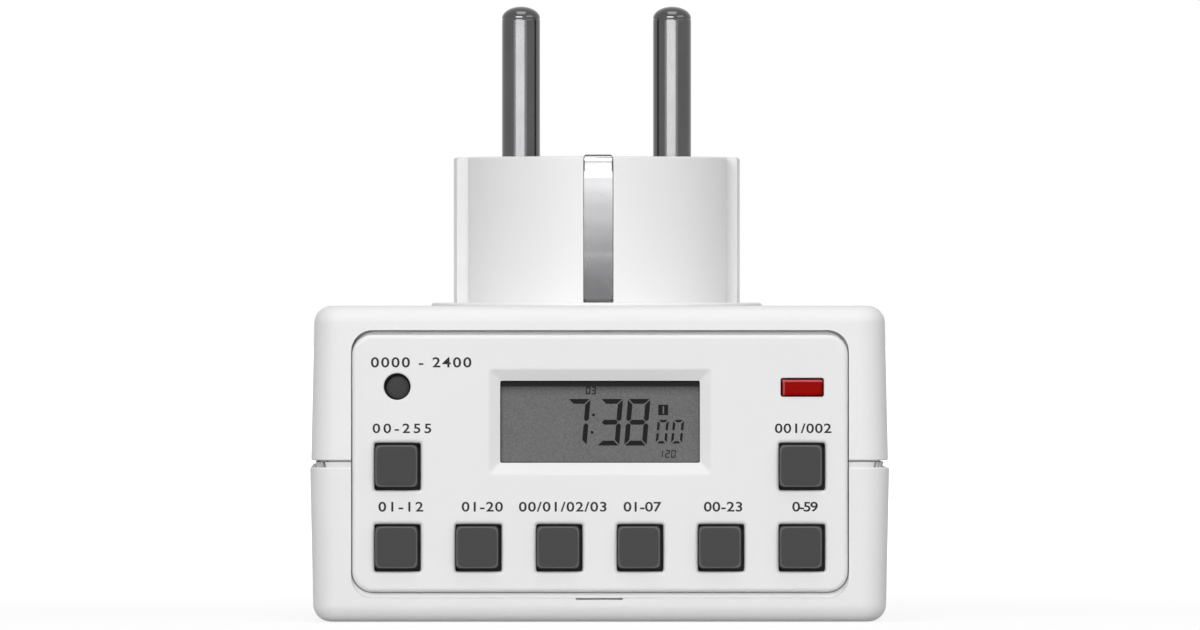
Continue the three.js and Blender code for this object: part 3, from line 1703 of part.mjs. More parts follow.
function hanging(left, front, width, depth, height, edge) {
  const [x, y] = [left + width / 2, front + depth / 2];
  const whole = section(width / 2, depth / 2, edge, powerBoardBottom);
  return solidOf(
    loft(
      [
        section(width / 2 - edge / 2, depth / 2 - edge / 2, edge / 2, powerBoardBottom - height),
        { ...whole, at: powerBoardBottom - height + edge / 2 },
        whole,
      ],
      x,
      y,
    ),
  );
}

function powerBoard() {
  return alongZ(
    roundedRectangle(
      powerBoardWidth,
      powerBoardBack - powerBoardFront,
      innerRadius,
      0,
      (powerBoardFront + powerBoardBack) / 2,
    ),
    powerBoardBottom,
    powerBoardTop,
  );
}

function smoothingCapacitor() {
  const radius = canDiameter / 2;
  const top = powerBoardBottom;
  const [first, second] = canGrooveShares;
  return turned(
    [
      [0, top - canHeight],
      [radius - canGroove, top - canHeight],
      [radius, top - canHeight + canGroove],
      [radius, top - canHeight * second],
      [radius - canGroove, top - canHeight * ((first + second) / 2)],
      [radius, top - canHeight * first],
      [radius, top],
      [0, top],
    ],
    rodSegments,
    canX,
    canY,
  );
}

function varistor() {
  const radius = varistorDiameter / 2;
  const y0 = powerBoardFront + varistorFrontMargin;
  const centre = powerBoardBottom - varistorLeg - radius;
  const round = alongY(disc(radius, varistorX, centre, rodSegments), y0, y0 + varistorThickness);
  const legs = [-1, 1].map((side) => {
    const x = varistorX + (side * radius) / 2;
    return alongY(
      rectangle(x - lampLeadThickness, centre, x + lampLeadThickness, powerBoardBottom),
      y0 + varistorThickness / 2 - lampLeadThickness,
      y0 + varistorThickness / 2 + lampLeadThickness,
    );
  });
  return joined(round, ...legs);
}

function resistor() {
  const radius = resistorDiameter / 2;
  const z = powerBoardBottom - radius - fit;
  const profile = [
    [0, 0],
    [radius - resistorEnd / 2, 0],
    [radius, resistorEnd / 2],
    [radius, 2 * resistorEnd],
    [radius - resistorEnd / 2, 3 * resistorEnd],
    [radius - resistorEnd / 2, resistorLength - 3 * resistorEnd],
    [radius, resistorLength - 2 * resistorEnd],
    [radius, resistorLength - resistorEnd / 2],
    [radius - resistorEnd / 2, resistorLength],
    [0, resistorLength],
  ];
  return solidOf(
    new THREE.LatheGeometry(profile.map(([r, along]) => new THREE.Vector2(r, along)), smallSegments)
      .rotateZ(-Math.PI / 2)
      .translate(resistorLeft, resistorY, z),
  );
}

function buildPower() {
  place(power, "power_board", powerBoard(), boardGreen);
  place(
    power,
    "relay",
    hanging(relayLeft, powerBoardFront + relayFrontMargin, relayWidth, relayDepth, relayHeight, relayEdge),
    relayBlue,
  );
  place(
    power,
    "film_capacitor",
    hanging(
      capacitorLeft,
      powerBoardFront + capacitorFrontMargin,
      capacitorWidth,
      capacitorDepth,
      capacitorHeight,
      relayEdge,
    ),
    foilYellow,
  );
  place(
    power,
    "rectifier",
    hanging(
      rectifierLeft,
      rectifierY - rectifierDepth / 2,
      rectifierWidth,
      rectifierDepth,
      rectifierHeight,
      relayEdge,
    ),
    blackPlastic,
  );
  place(power, "smoothing_capacitor", smoothingCapacitor(), canSleeve);
  place(power, "varistor", varistor(), varistorBlue);
  place(power, "resistor", resistor(), beigePlastic);
}

buildHousing();
buildPlug();
buildSocket();
buildPanel();
buildControls();
buildPower();

export default timer;
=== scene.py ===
import json
import math

import bmesh
import bpy
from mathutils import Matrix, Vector


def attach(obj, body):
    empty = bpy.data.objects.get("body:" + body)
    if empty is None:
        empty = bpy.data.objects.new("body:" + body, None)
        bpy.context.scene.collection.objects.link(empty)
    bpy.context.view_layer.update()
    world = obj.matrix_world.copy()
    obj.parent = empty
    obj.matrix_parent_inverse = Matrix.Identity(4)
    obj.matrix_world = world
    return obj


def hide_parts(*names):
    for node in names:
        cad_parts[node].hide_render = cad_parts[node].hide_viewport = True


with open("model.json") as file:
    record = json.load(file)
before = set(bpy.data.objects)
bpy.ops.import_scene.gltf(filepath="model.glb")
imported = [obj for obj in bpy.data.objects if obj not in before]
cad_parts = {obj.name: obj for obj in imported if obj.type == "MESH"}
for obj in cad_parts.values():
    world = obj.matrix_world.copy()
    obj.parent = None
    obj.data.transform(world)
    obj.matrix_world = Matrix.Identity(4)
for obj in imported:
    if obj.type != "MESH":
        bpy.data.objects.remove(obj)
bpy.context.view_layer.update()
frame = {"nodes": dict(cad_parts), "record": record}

MM = 0.001

# Sizes in millimetres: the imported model's, or the photograph's where an edge shows there
FRONT = -28.55
REAR = 29.45
AXIS = 6.25
WIDTH = 71.7
DEPTH = 58.0
HEIGHT = 39.1
WALL = 2.0
LOWER_TOP = 19.1
UPPER_START = 19.96
CEILING = HEIGHT - WALL
# The groove: how far its floor is set in, its thin line's height, and the upper half set in against the lower
GROOVE_INSET = 0.55
GROOVE_LINE = 0.18
GROOVE_CORNER = 2.7
UPPER_SET_IN = 0.14
# Radii: the upright corners, the outer edges, the inner corners and the edges along the groove
CORNER = 3.2
EDGE = 2.1
INNER = 1.2
JOINT_EDGE = 0.22
# How far the walls lean in for each millimetre away from the groove
LEAN = 0.022
PLUG_FACE = 57.75
FLANGE_TOP = 39.5
FLANGE_BOTTOM = 38.25
PLUG_CEILING = 50.0
PIN_X = 9.5
PIN_RADIUS = 2.4
PLUG_SCREWS = [(x, AXIS + 9.8) for x in (-10.5, 10.5)]
STRIP_WIDTH = 3.6
PANEL_FACE = -28.7
PANEL_BACK = -26.5
PANEL_RIM = -25.9
PANEL_WIDTH = 61.3
PANEL_HEIGHT = 31.8
PANEL_BOTTOM = 3.7
PANEL_CENTRE = PANEL_BOTTOM + PANEL_HEIGHT / 2
PANEL_CORNER = 2.5
GLASS_FACE = -27.2
BOARD_FRONT = -20.5
# The display window's width, height and middle level
WINDOW = (24.7, 10.15, 24.75)
SCREWS = [(x, y) for y in (-13.05, 23.55) for x in (-30.0, 30.0)]
SCREW_SEAT = 27.1
COLUMN_RADIUS = 3.75
BATTERY = (-27.2, -3.063)
LAMP = (25, 29)
LAMP_HALF = (2.5, 1.0)
# Where the middles of the keys are on the panel, how far apart, and the shift and half size of their caps
KEYS = {
    "key_clock": (-25, 9.1),
    "key_timer": (-15, 9.1),
    "key_mode": (-5, 9.1),
    "key_week": (5, 9.1),
    "key_hour": (15, 9.1),
    "key_minute": (25, 9.1),
    "key_random": (-25, 19.15),
    "key_recall": (25, 19.15),
}
KEY_PITCH = (10.0, 10.05)
KEY_SHIFT = (-0.2, 0.13)
KEY_HALF = (2.62, 2.6)
RESET = (-24.98, 28.98)
RESET_RADIUS = 1.38
RESET_ROUNDING = 1.36

# Where the photograph puts the panel: pixels of the full picture to millimetres on the panel's face
PIXELS_PER_MM = 8.09
PANEL_PIXEL_X = 601.2
EYE_PIXEL_Y = 315.0
EYE_HEIGHT = 37.95


def panel_x(pixel):
    return (pixel - PANEL_PIXEL_X) / PIXELS_PER_MM


def panel_z(pixel):
    return EYE_HEIGHT - (pixel - EYE_PIXEL_Y) / PIXELS_PER_MM


# Mesh code: every outline is in millimetres

# What is left of a turned body's radius where its profile meets the axis
POLE_RADIUS = 0.004
AXES = {
    "z": lambda u, v, w: (u, v, w),
    "y": lambda u, v, w: (u, w, v),
    "x": lambda u, v, w: (w, u, v),
}


def ring(half_u, half_v, radius, u=0.0, v=0.0, steps=10):
    """Points round a rounded rectangle, as many whatever its size."""
    points = []
    for corner in range(4):
        side_u = 1 if corner in (0, 3) else -1
        side_v = 1 if corner < 2 else -1
        for step in range(steps + 1):
            angle = (corner + step / steps) * math.pi / 2
            points.append(
                (
                    u + side_u * (half_u - radius) + radius * math.cos(angle),
                    v + side_v * (half_v - radius) + radius * math.sin(angle),
                )
            )
    return points


def circle(radius, u=0.0, v=0.0, segments=96):
    turns = [(step + 0.5) / segments * 2 * math.pi for step in range(segments)]
    return [(u + radius * math.cos(turn), v + radius * math.sin(turn)) for turn in turns]


def rectangle(u0, v0, u1, v1):
    return [(u0, v0), (u1, v0), (u1, v1), (u0, v1)]


def quarter_turn(steps):
    """Sines and cosines of even angles from 0 to a right angle."""
    angles = [step / steps * math.pi / 2 for step in range(steps + 1)]
    return [(math.sin(angle), math.cos(angle)) for angle in angles]


def linked(name, data):
    """A new object of the scene that holds the data."""
    item = bpy.data.objects.new(name, data)
    bpy.context.scene.collection.objects.link(item)
    return item


def made(name, points, faces):
    """An object of merged points with its faces turned outwards."""
    mesh = bpy.data.meshes.new(name)
    shape = bmesh.new()
    corners = [shape.verts.new(Vector(point) * MM) for point in points]
    for face in faces:
        if len(set(face)) > 2:
            shape.faces.new([corners[i] for i in face])
    bmesh.ops.remove_doubles(shape, verts=shape.verts, dist=2e-7)
    bmesh.ops.recalc_face_normals(shape, faces=shape.faces)
    shape.to_mesh(mesh)
    shape.free()
    return linked(name, mesh)


def body(name, sections, axis="z"):
    """A closed body through sections of as many points each: [(outline, level)]."""
    place = AXES[axis]
    count = len(sections[0][0])
    points = [place(u, v, level) for outline, level in sections for u, v in outline]
    faces = [list(range(count))]
    for low in range(len(sections) - 1):
        for i in range(count):
            j = (i + 1) % count
            faces.append([low * count + i, low * count + j, (low + 1) * count + j, (low + 1) * count + i])
    faces.append([(len(sections) - 1) * count + i for i in range(count)])
    return made(name, points, faces)


def prism(name, outline, low, high, axis="z"):
    return body(name, [(outline, low), (outline, high)], axis)


def turned(name, profile, u=0.0, v=0.0, axis="z", segments=96):
    """A turned body: its profile is [(radius, level)]."""
    sections = [(circle(max(radius, POLE_RADIUS), u, v, segments), level) for radius, level in profile]
    return body(name, sections, axis)


def settled(piece):
    """The piece with its modifiers worked into a plain mesh."""
    graph = bpy.context.evaluated_depsgraph_get()
    mesh = bpy.data.meshes.new_from_object(piece.evaluated_get(graph))
    piece.modifiers.clear()
    old = piece.data
    piece.data = mesh
    bpy.data.meshes.remove(old)
    return piece


def combined(piece, others, operation):
    for other in others:
        step = piece.modifiers.new("step", "BOOLEAN")
        step.operation = operation
        step.solver = "EXACT"
        step.object = other
    settled(piece)
    for other in others:
        bpy.data.objects.remove(other)
    return piece


def joined(piece, *others):
    return combined(piece, others, "UNION")


def cut(piece, *others):
    return combined(piece, others, "DIFFERENCE")


def common(piece, *others):
    return combined(piece, others, "INTERSECT")


def eased(piece, width, segments=3):
    """The piece with its sharp edges rounded off."""
    edge = piece.modifiers.new("edge", "BEVEL")
    edge.width = width * MM
    edge.segments = segments
    edge.limit_method = "ANGLE"
    edge.angle_limit = math.radians(50)
    edge.miter_outer = "MITER_ARC"
    return settled(piece)


def smoothed(piece, angle=32):
    """The piece shaded smooth up to an angle, with its flat faces kept flat."""
    piece.data.shade_smooth()
    piece.data.set_sharp_from_angle(angle=math.radians(angle))
    weight = piece.modifiers.new("weight", "WEIGHTED_NORMAL")
    weight.keep_sharp = True
    return settled(piece)


def simplified(piece):
    """The piece without the edges that divide its flat faces."""
    shape = bmesh.new()
    shape.from_mesh(piece.data)
    bmesh.ops.remove_doubles(shape, verts=shape.verts, dist=5e-7)
    bmesh.ops.dissolve_limit(shape, angle_limit=math.radians(0.6), verts=shape.verts, edges=shape.edges)
    shape.to_mesh(piece.data)
    shape.free()
    return piece


def finished(piece, material, replaces=(), rides="housing"):
    piece.data.materials.clear()
    piece.data.materials.append(material)
    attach(piece, rides)
    if replaces:
        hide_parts(*replaces)


# Node code


class Wire:
    """A socket that Python's operators work on."""

    def __init__(self, nodes, socket):
        self.nodes = nodes
        self.socket = socket

    def __add__(self, other):
        return self.nodes.maths("ADD", self, other)

    __radd__ = __add__

    def __sub__(self, other):
        return self.nodes.maths("SUBTRACT", self, other)

    def __rsub__(self, other):
        return self.nodes.maths("SUBTRACT", other, self)

    def __mul__(self, other):
        return self.nodes.maths("MULTIPLY", self, other)

    __rmul__ = __mul__

    def __truediv__(self, other):
        return self.nodes.maths("DIVIDE", self, other)

    def __pow__(self, other):
        return self.nodes.maths("POWER", self, other)


class Nodes:
    """A node tree of any kind: expressions make its maths, and one method its other nodes."""

    def __init__(self, tree):
        self.tree = tree

    def feed(self, socket, value):
        if isinstance(value, Wire):
            self.tree.links.new(value.socket, socket)
        else:
            opaque = hasattr(value, "__len__") and len(value) == 3 and len(socket.default_value) == 4
            socket.default_value = (*value, 1.0) if opaque else value

    def node(self, kind, settings=None, inputs=None, output=0):
        node = self.tree.nodes.new(kind)
        for name, value in (settings or {}).items():
            if name == "stops":
                for place, level in value[2:]:
                    node.color_ramp.elements.new(place)
                for element, (place, level) in zip(node.color_ramp.elements, value):
                    element.position = place
                    element.color = (level, level, level, 1.0)
            else:
                setattr(node, name, value)
        for name, value in (inputs or {}).items():
            self.feed(node.inputs[name], value)
        return Wire(self, node.outputs[output])

    def maths(self, operation, *values):
        return self.node("ShaderNodeMath", {"operation": operation}, dict(enumerate(values)))

    def limited(self, value):
        return self.node("ShaderNodeClamp", {}, {"Value": value})

    def seen(self):
        """1 for the camera, for reflections and through glass, 0 for the light that falls from a place."""
        rays = ("Is Camera Ray", "Is Glossy Ray", "Is Transmission Ray")
        first, second, third = [self.node("ShaderNodeLightPath", output=ray) for ray in rays]
        return self.limited(first + second + third)


class Shader(Nodes):
    """One material's node tree round its main surface node."""

    def __init__(self, name, **values):
        self.material = bpy.data.materials.new(name)
        self.material.use_nodes = True
        super().__init__(self.material.node_tree)
        self.surface = self.tree.nodes["Principled BSDF"]
        self.set(**values)

    def set(self, **values):
        for name, value in values.items():
            self.feed(self.surface.inputs[name.replace("_", " ")], value)

    def place(self, scale=(1.0, 1.0, 1.0)):
        """Object coordinates, stretched."""
        where = self.node("ShaderNodeTexCoord", output="Object")
        return self.node("ShaderNodeMapping", {}, {"Vector": where, "Scale": scale})

    def axis(self, name):
        where = self.node("ShaderNodeTexCoord", output="Object")
        return self.node("ShaderNodeSeparateXYZ", {}, {"Vector": where}, name)

    def noise(self, scale, detail=2.0, stretch=(1.0, 1.0, 1.0), roughness=0.5):
        """Noise about 0.5 over millimetres: scale is patches per millimetre."""
        inputs = {
            "Vector": self.place(stretch), "Scale": scale / MM, "Detail": detail, "Roughness": roughness,
        }
        return self.node("ShaderNodeTexNoise", {}, inputs)

    def cells(self, scale):
        return self.node("ShaderNodeTexVoronoi", {}, {"Vector": self.place(), "Scale": scale / MM})

    def ramp(self, value, *stops):
        return self.node("ShaderNodeValToRGB", {"stops": stops}, {"Fac": value})

    def mix(self, factor, first, second):
        inputs = {0: factor, 6: first, 7: second}
        return self.node("ShaderNodeMix", {"data_type": "RGBA"}, inputs, 2)

    def shade(self, colour, value):
        """A colour scaled by a wire about 1."""
        return self.node("ShaderNodeVectorMath", {"operation": "SCALE"}, {0: colour[:3], "Scale": value})

    def bump(self, height, distance, strength=1.0, under=None):
        inputs = {"Height": height, "Distance": distance * MM, "Strength": strength}
        if under:
            inputs["Normal"] = under
        return self.node("ShaderNodeBump", {}, inputs)


class Layout(Nodes):
    """A Geometry Nodes tree that repeats a shape and ends as plain mesh in one material."""

    def __init__(self, name, **sizes):
        self.group = bpy.data.node_groups.new(name, "GeometryNodeTree")
        super().__init__(self.group)
        self.names = {}
        for label, kind in {"Shape": "Geometry", **sizes, "Material": "Material"}.items():
            socket = self.group.interface.new_socket(label, in_out="INPUT", socket_type="NodeSocket" + kind)
            self.names[label] = socket.identifier
        self.group.interface.new_socket("Mesh", in_out="OUTPUT", socket_type="NodeSocketGeometry")
        self.entry = self.group.nodes.new("NodeGroupInput")

    def given(self, label):
        return Wire(self, self.entry.outputs[label])

    def close(self, points, rotation=(0.0, 0.0, 0.0)):
        """The shape set on the points, real and in its material."""
        inputs = {"Points": points, "Instance": self.given("Shape"), "Rotation": rotation}
        copies = self.node("GeometryNodeInstanceOnPoints", {}, inputs)
        real = self.node("GeometryNodeRealizeInstances", {}, {"Geometry": copies})
        inputs = {"Geometry": real, "Material": self.given("Material")}
        mesh = self.node("GeometryNodeSetMaterial", {}, inputs)
        self.feed(self.group.nodes.new("NodeGroupOutput").inputs["Mesh"], mesh)
        return self

    def lay(self, piece, material, **values):
        """The piece's shape set out by this tree, as a plain mesh."""
        step = piece.modifiers.new("layout", "NODES")
        step.node_group = self.group
        for label, value in {**values, "Material": material}.items():
            step[self.names[label]] = value
        return settled(piece)


def rows_layout():
    """Copies in rows and columns about the origin."""
    rows = Layout("copies_in_rows", Width="Float", Depth="Float", Columns="Int", Rows="Int", Forward="Float")
    grid = rows.node("GeometryNodeMeshGrid", {}, {
        "Size X": rows.given("Width"), "Size Y": rows.given("Depth"),
        "Vertices X": rows.given("Columns"), "Vertices Y": rows.given("Rows"),
    })
    shift = rows.node("ShaderNodeCombineXYZ", {}, {"Y": rows.given("Forward")})
    return rows.close(rows.node("GeometryNodeSetPosition", {}, {"Geometry": grid, "Offset": shift}))


def corners_layout():
    """Copies round two corners that mirror each other, at even angles from the front."""
    turns = Layout("copies_round_corners", Count="Int", Radius="Float", Side="Float", Front="Float",
                   First="Float", Step="Float")
    line = turns.node("GeometryNodeMeshLine", {}, {"Count": turns.given("Count") * 2.0})
    index = turns.node("GeometryNodeInputIndex")
    right = turns.maths("GREATER_THAN", index, turns.given("Count") - 0.5)
    side = right * 2.0 - 1.0
    angle = turns.given("First") + (index - right * turns.given("Count")) * turns.given("Step")
    x = side * (turns.given("Side") + turns.given("Radius") * turns.maths("SINE", angle))
    y = turns.given("Front") - turns.given("Radius") * turns.maths("COSINE", angle)
    place = turns.node("ShaderNodeCombineXYZ", {}, {"X": x, "Y": y})
    points = turns.node("GeometryNodeSetPosition", {}, {"Geometry": line, "Position": place})
    return turns.close(points, turns.node("ShaderNodeCombineXYZ", {}, {"Z": side * angle}))


def moulded(name, colour, grain, depth, rough, mottle=0.02):
    """Moulded plastic: spark-eroded grain, faint flow marks and a little uneven gloss."""
    shader = Shader(name)
    flow = shader.noise(0.06, 4.0, (1.0, 1.0, 0.5))
    cloud = shader.noise(0.35, 3.0)
    pits = shader.noise(grain, 3.0, roughness=0.6)
    tone = 1.0 + (flow - 0.5) * mottle * 2 + (cloud - 0.5) * mottle + (pits - 0.5) * mottle
    gloss = rough + (cloud - 0.5) * 0.08 + (pits - 0.5) * 0.16
    skin = shader.bump(pits, depth)
    wave = shader.bump(cloud, depth * 1.6, 0.5, skin)
    shader.set(Base_Color=shader.shade(colour, tone), Roughness=gloss, Normal=wave)
    return shader.material


def rubbery(name, colour, edge=None):
    """Silicone rubber: matt, with a fine dusty speckle, faint rub marks and, where an edge reach is given, a
    painted sheen near the edges.
    """
    shader = Shader(name)
    dust = shader.noise(9.0, 2.0)
    wear_and_painted_light = shader.noise(0.6, 4.0)
    speck = shader.ramp(shader.cells(3.2), (0.0, 1.0), (0.16, 0.0))
    tone = 0.92 + dust * 0.16 + (wear_and_painted_light - 0.5) * 0.14 + speck * 0.1
    if edge:
        # Painted sheen: a lighter band just inside the cap's edge, where the rounded edge catches the light
        painted_edge_sheen = shader.ramp(edge(shader), (0.92, 0.0), (0.945, 1.0), (0.97, 1.0), (0.985, 0.25))
        tone = tone + painted_edge_sheen * (0.95 + wear_and_painted_light * 0.5)
    skin = shader.bump(dust, 0.012)
    shader.set(Base_Color=shader.shade(colour, tone), Roughness=0.62 + (wear_and_painted_light - 0.5) * 0.2, Normal=skin)
    shader.set(Specular_IOR_Level=0.15)
    return shader.material


def key_reach(shader):
    """How far a point is from its key's middle towards the edge, 0 to 1: alike for every key."""
    def along(name, pitch, middle, half):
        turns = (shader.axis(name) / MM - middle) / pitch + 0.5
        return (shader.maths("FLOORED_MODULO", turns, 1.0) - 0.5) * pitch / half

    x, z = KEYS["key_mode"]
    across = along("X", KEY_PITCH[0], x + KEY_SHIFT[0], KEY_HALF[0])
    up = along("Z", KEY_PITCH[1], z + KEY_SHIFT[1], KEY_HALF[1])
    return (across ** 8.0 + up ** 8.0) ** 0.125


def reset_reach(shader):
    """How far a point is from the reset key's middle towards its round edge, 0 to 1."""
    across, up = shader.axis("X") / MM - RESET[0], shader.axis("Z") / MM - RESET[1]
    return (across * across + up * up) ** 0.5 / RESET_ROUNDING


def hook_painted_light(shader):
    """The earth strip's hook: a painted highlight over its bend and above its step, and a painted dark
    outline at its top and sides.
    """
    across = shader.axis("X") / MM
    out = shader.axis("Y") / MM - AXIS
    level = shader.axis("Z") / MM - PLUG_FACE
    # Painted reflections: bend and step lighter, and a painted dark outline round the hook's top and sides
    outer = shader.ramp((out * out) ** 0.5 - 15.0, (0.78, 0.0), (0.86, 1.0))
    bend = shader.ramp(level + 0.8, (0.2, 0.0), (0.5, 1.0), (0.8, 1.0), (0.84, 0.0))
    top = shader.ramp(level + 0.8, (0.81, 0.0), (0.86, 1.0))
    sides = shader.ramp(across * across / 4.0, (0.68, 0.0), (0.74, 1.0))
    sides_end = shader.ramp((level + 1.95) * 5.0, (0.3, 0.0), (0.7, 1.0))
    step = shader.ramp(level + 3.2, (0.45, 0.0), (0.55, 1.0))
    outline = shader.maths("MAXIMUM", top, sides * sides_end)
    return (1.0 + bend * outer * 1.5) * (1.0 + step * outer * 0.3) * (1.0 - outline * outer * 0.88)


def plated(name, colour, rough, stretch, scratch=0.004, wear_and_painted_light=None):
    """Plated or drawn metal: lines along the way it was drawn, a few wipe marks, and, where a function is
    given, the painted highlight and shade that it returns.
    """
    shader = Shader(name, Metallic=1.0)
    drawn = shader.noise(6.0, 4.0, stretch, 0.7)
    wipe = shader.noise(0.4, 3.0)
    tone = 1.0 + (wipe - 0.5) * 0.16 + (drawn - 0.5) * 0.1
    # The given function paints highlight and shade into the colour
    if wear_and_painted_light:
        tone = tone * wear_and_painted_light(shader)
    skin = shader.bump(drawn, scratch, 0.7)
    shader.set(Base_Color=shader.shade(colour, tone), Normal=skin)
    shader.set(Roughness=rough * (1.0 + (drawn - 0.5) * 0.35 + (wipe - 0.5) * 0.4))
    return shader.material


def display_film(name, colour):
    """The polariser film over the display: fine sparkle over a soft cloud."""
    shader = Shader(name)
    sparkle = shader.noise(4.2, 2.0, roughness=0.7)
    cloud = shader.noise(0.5, 2.0)
    tone = 1.0 + (sparkle - 0.5) * 1.0 + (cloud - 0.5) * 0.1
    shadow = shader.ramp(shader.axis("Z") / MM - 28.0, (0.0, 1.0), (0.5, 0.86), (1.0, 0.56))
    shader.set(Base_Color=shader.shade(colour, tone * shadow), Roughness=0.5 + (sparkle - 0.5) * 0.2)
    shader.set(Specular_IOR_Level=0.1)
    return shader.material


def lens_resin(name, colour, highlight_pink, middle, half):
    """Diffusing red resin: even in the middle, with a painted pale highlight along the top and left edges,
    where the light falls from the upper left.
    """
    shader = Shader(name, Specular_IOR_Level=0.03)
    haze = shader.noise(1.5, 3.0)
    right = (shader.axis("X") / MM - middle[0]) / half[0]
    up = (shader.axis("Z") / MM - middle[1]) / half[1]
    # Painted highlight: paler bands along the top and left edges
    top = shader.ramp(up, (0.66, 0.0), (0.76, 1.0), (0.86, 0.8), (0.93, 0.0))
    left = shader.ramp(0.0 - right, (0.86, 0.0), (0.9, 0.8), (0.94, 0.5), (0.97, 0.0))
    shade = shader.shade(colour, 0.92 + haze * 0.16)
    painted_highlight = shader.maths("MAXIMUM", top, left) * (0.75 + haze * 0.3)
    shader.set(Base_Color=shader.mix(painted_highlight, shade, highlight_pink), Roughness=0.25 + haze * 0.1)
    return shader.material


def board_mask(name, colour, copper):
    """Solder mask with the tracks showing through as slightly raised lines."""
    shader = Shader(name)
    lines = shader.node("ShaderNodeTexWave", {"wave_type": "BANDS", "bands_direction": "X"},
                        {"Vector": shader.place(), "Scale": 120.0, "Distortion": 6.0, "Detail": 1.0})
    track = shader.ramp(lines, (0.52, 0.0), (0.6, 1.0))
    weave = shader.noise(5.0, 2.0)
    tone = shader.mix(track * 0.45, colour, copper)
    shader.set(Base_Color=tone, Roughness=0.3 + weave * 0.15, Normal=shader.bump(track + weave * 0.2, 0.02))
    return shader.material


def ink(name, colour):
    """Printed or polarised marks: even, with a trace of screen grain."""
    shader = Shader(name)
    grain = shader.noise(12.0, 2.0)
    shader.set(Base_Color=shader.shade(colour, 0.9 + grain * 0.2), Roughness=0.6 + (grain - 0.5) * 0.1)
    shader.set(Specular_IOR_Level=0.05)
    return shader.material


WHITE = (0.80, 0.80, 0.80)
housing_plastic = moulded("housing_plastic", WHITE, 5.0, 0.012, 0.5)
panel_plastic = moulded("panel_plastic", (0.79, 0.79, 0.79), 7.0, 0.006, 0.46)
plug_plastic = moulded("plug_plastic", WHITE, 6.0, 0.005, 0.4)
# The keys' and the reset key's edge reaches place a painted sheen just inside their edges
key_silicone = rubbery("key_silicone", (0.058, 0.058, 0.059), key_reach)
reset_silicone = rubbery("reset_silicone", (0.048, 0.048, 0.049), reset_reach)
nickel = plated("polished_nickel", (0.095, 0.095, 0.097), 0.12, (1.0, 1.0, 0.06), 0.0004)
# The earth strip's colour carries a painted highlight and a painted dark outline on its hook
strip_nickel = plated("strip_nickel", (0.138, 0.138, 0.141), 0.26, (1.0, 1.0, 0.06), 0.0005, hook_painted_light)
film = display_film("display_film", (0.15, 0.152, 0.15))
display_ink = ink("display_ink", (0.015, 0.015, 0.016))
# Black for the gasket and for the painted shade band at the display's top
gasket_and_shade_black = ink("gasket_and_shade_black", (0.022, 0.022, 0.022))
label_ink = ink("label_ink", (0.045, 0.045, 0.048))
# The red lens carries a painted highlight along its top and left edges
red_resin = lens_resin("red_resin", (0.3, 0.0015, 0.0003), (0.56, 0.14, 0.17), LAMP, LAMP_HALF)

FINISHES = {
    "white_plastic": housing_plastic,
    "grey_keys": key_silicone,
    "grey_rubber": rubbery("mat_silicone", (0.11, 0.11, 0.11)),
    "nickel": nickel,
    "zinc_steel": plated("zinc_steel", (0.46, 0.47, 0.49), 0.34, (0.15, 1.0, 1.0)),
    "brass": plated("stamped_brass", (0.62, 0.45, 0.18), 0.28, (1.0, 0.1, 1.0)),
    "display_glass": film,
    "red_lens": red_resin,
    "board": board_mask("board_mask", (0.02, 0.13, 0.05), (0.05, 0.22, 0.09)),
}
for name, values in {
    "black_plastic": ((0.02, 0.02, 0.022), 6.0, 0.006, 0.42, 0.1),
    "beige_plastic": ((0.62, 0.58, 0.49), 6.0, 0.006, 0.42, 0.03),
    "relay_case": ((0.02, 0.05, 0.13), 5.0, 0.006, 0.34, 0.08),
    "capacitor_case": ((0.52, 0.38, 0.06), 3.0, 0.01, 0.32, 0.06),
    "can_sleeve": ((0.015, 0.02, 0.04), 4.0, 0.01, 0.26, 0.1),
    "varistor_coat": ((0.03, 0.13, 0.33), 2.0, 0.03, 0.3, 0.08),
    "red_insulation": ((0.3, 0.02, 0.012), 4.0, 0.008, 0.46, 0.06),
    "blue_insulation": ((0.025, 0.09, 0.32), 4.0, 0.008, 0.46, 0.06),
    "grey_sheath": ((0.28, 0.28, 0.28), 4.0, 0.02, 0.5, 0.05),
    "cell_sleeve": ((0.05, 0.3, 0.1), 3.0, 0.01, 0.28, 0.05),
}.items():
    FINISHES[name] = moulded(name, *values)

# The nodes that no piece of this script replaces keep their shapes and get their finish
for subpart in frame["record"]["subparts"]:
    node = frame["nodes"][subpart["node"]]
    node.data.materials.clear()
    node.data.materials.append(FINISHES[subpart["material_slot"]])


# Housing halves


def lean_in(level):
    return LEAN * (LOWER_TOP - level if level < LOWER_TOP else level - UPPER_START)


def lower_ring(level, inset, radius):
    """A section of the lower half: its outline, set in from the outer skin, and its level."""
    back = lean_in(level) + inset
    return (ring(WIDTH / 2 - back, DEPTH / 2 - back, radius, 0, (FRONT + REAR) / 2), level)


def upper_ring(level, inset, radius):
    return lower_ring(level, UPPER_SET_IN + inset, radius)


def rounding(make, edge, end, direction, steps=9):
    """Sections that round an edge off towards the body's end."""
    sections = []
    for sine, cosine in quarter_turn(steps):
        inset = edge * (1 - cosine)
        sections.append(make(end - direction * edge * (1 - sine), inset, max(CORNER - inset, 0.05)))
    return sections


def panel_opening():
    """What the panel's seat takes out of both halves: the hole for its edge and a shallow sill below it."""
    width, top, bottom, sill_bottom = PANEL_WIDTH + 0.25, 36.08, 3.61, 2.93
    radius = PANEL_CORNER + 0.125
    mouth = ring(width / 2, (top - bottom) / 2, radius, 0, (top + bottom) / 2)
    through = prism("through", mouth, FRONT - 1, PANEL_RIM + 0.3, "y")
    half, centre = (top - sill_bottom) / 2, (top + sill_bottom) / 2
    skin, sill_depth, slope = lean_in(0), 0.55, 0.04
    sections = [
        (ring(width / 2, half - rise, radius, 0, centre + rise), FRONT + depth)
        for rise, depth in ((0, -1), (0, skin), (slope, skin + sill_depth))
    ]
    return [through, body("sill", sections, "y")]


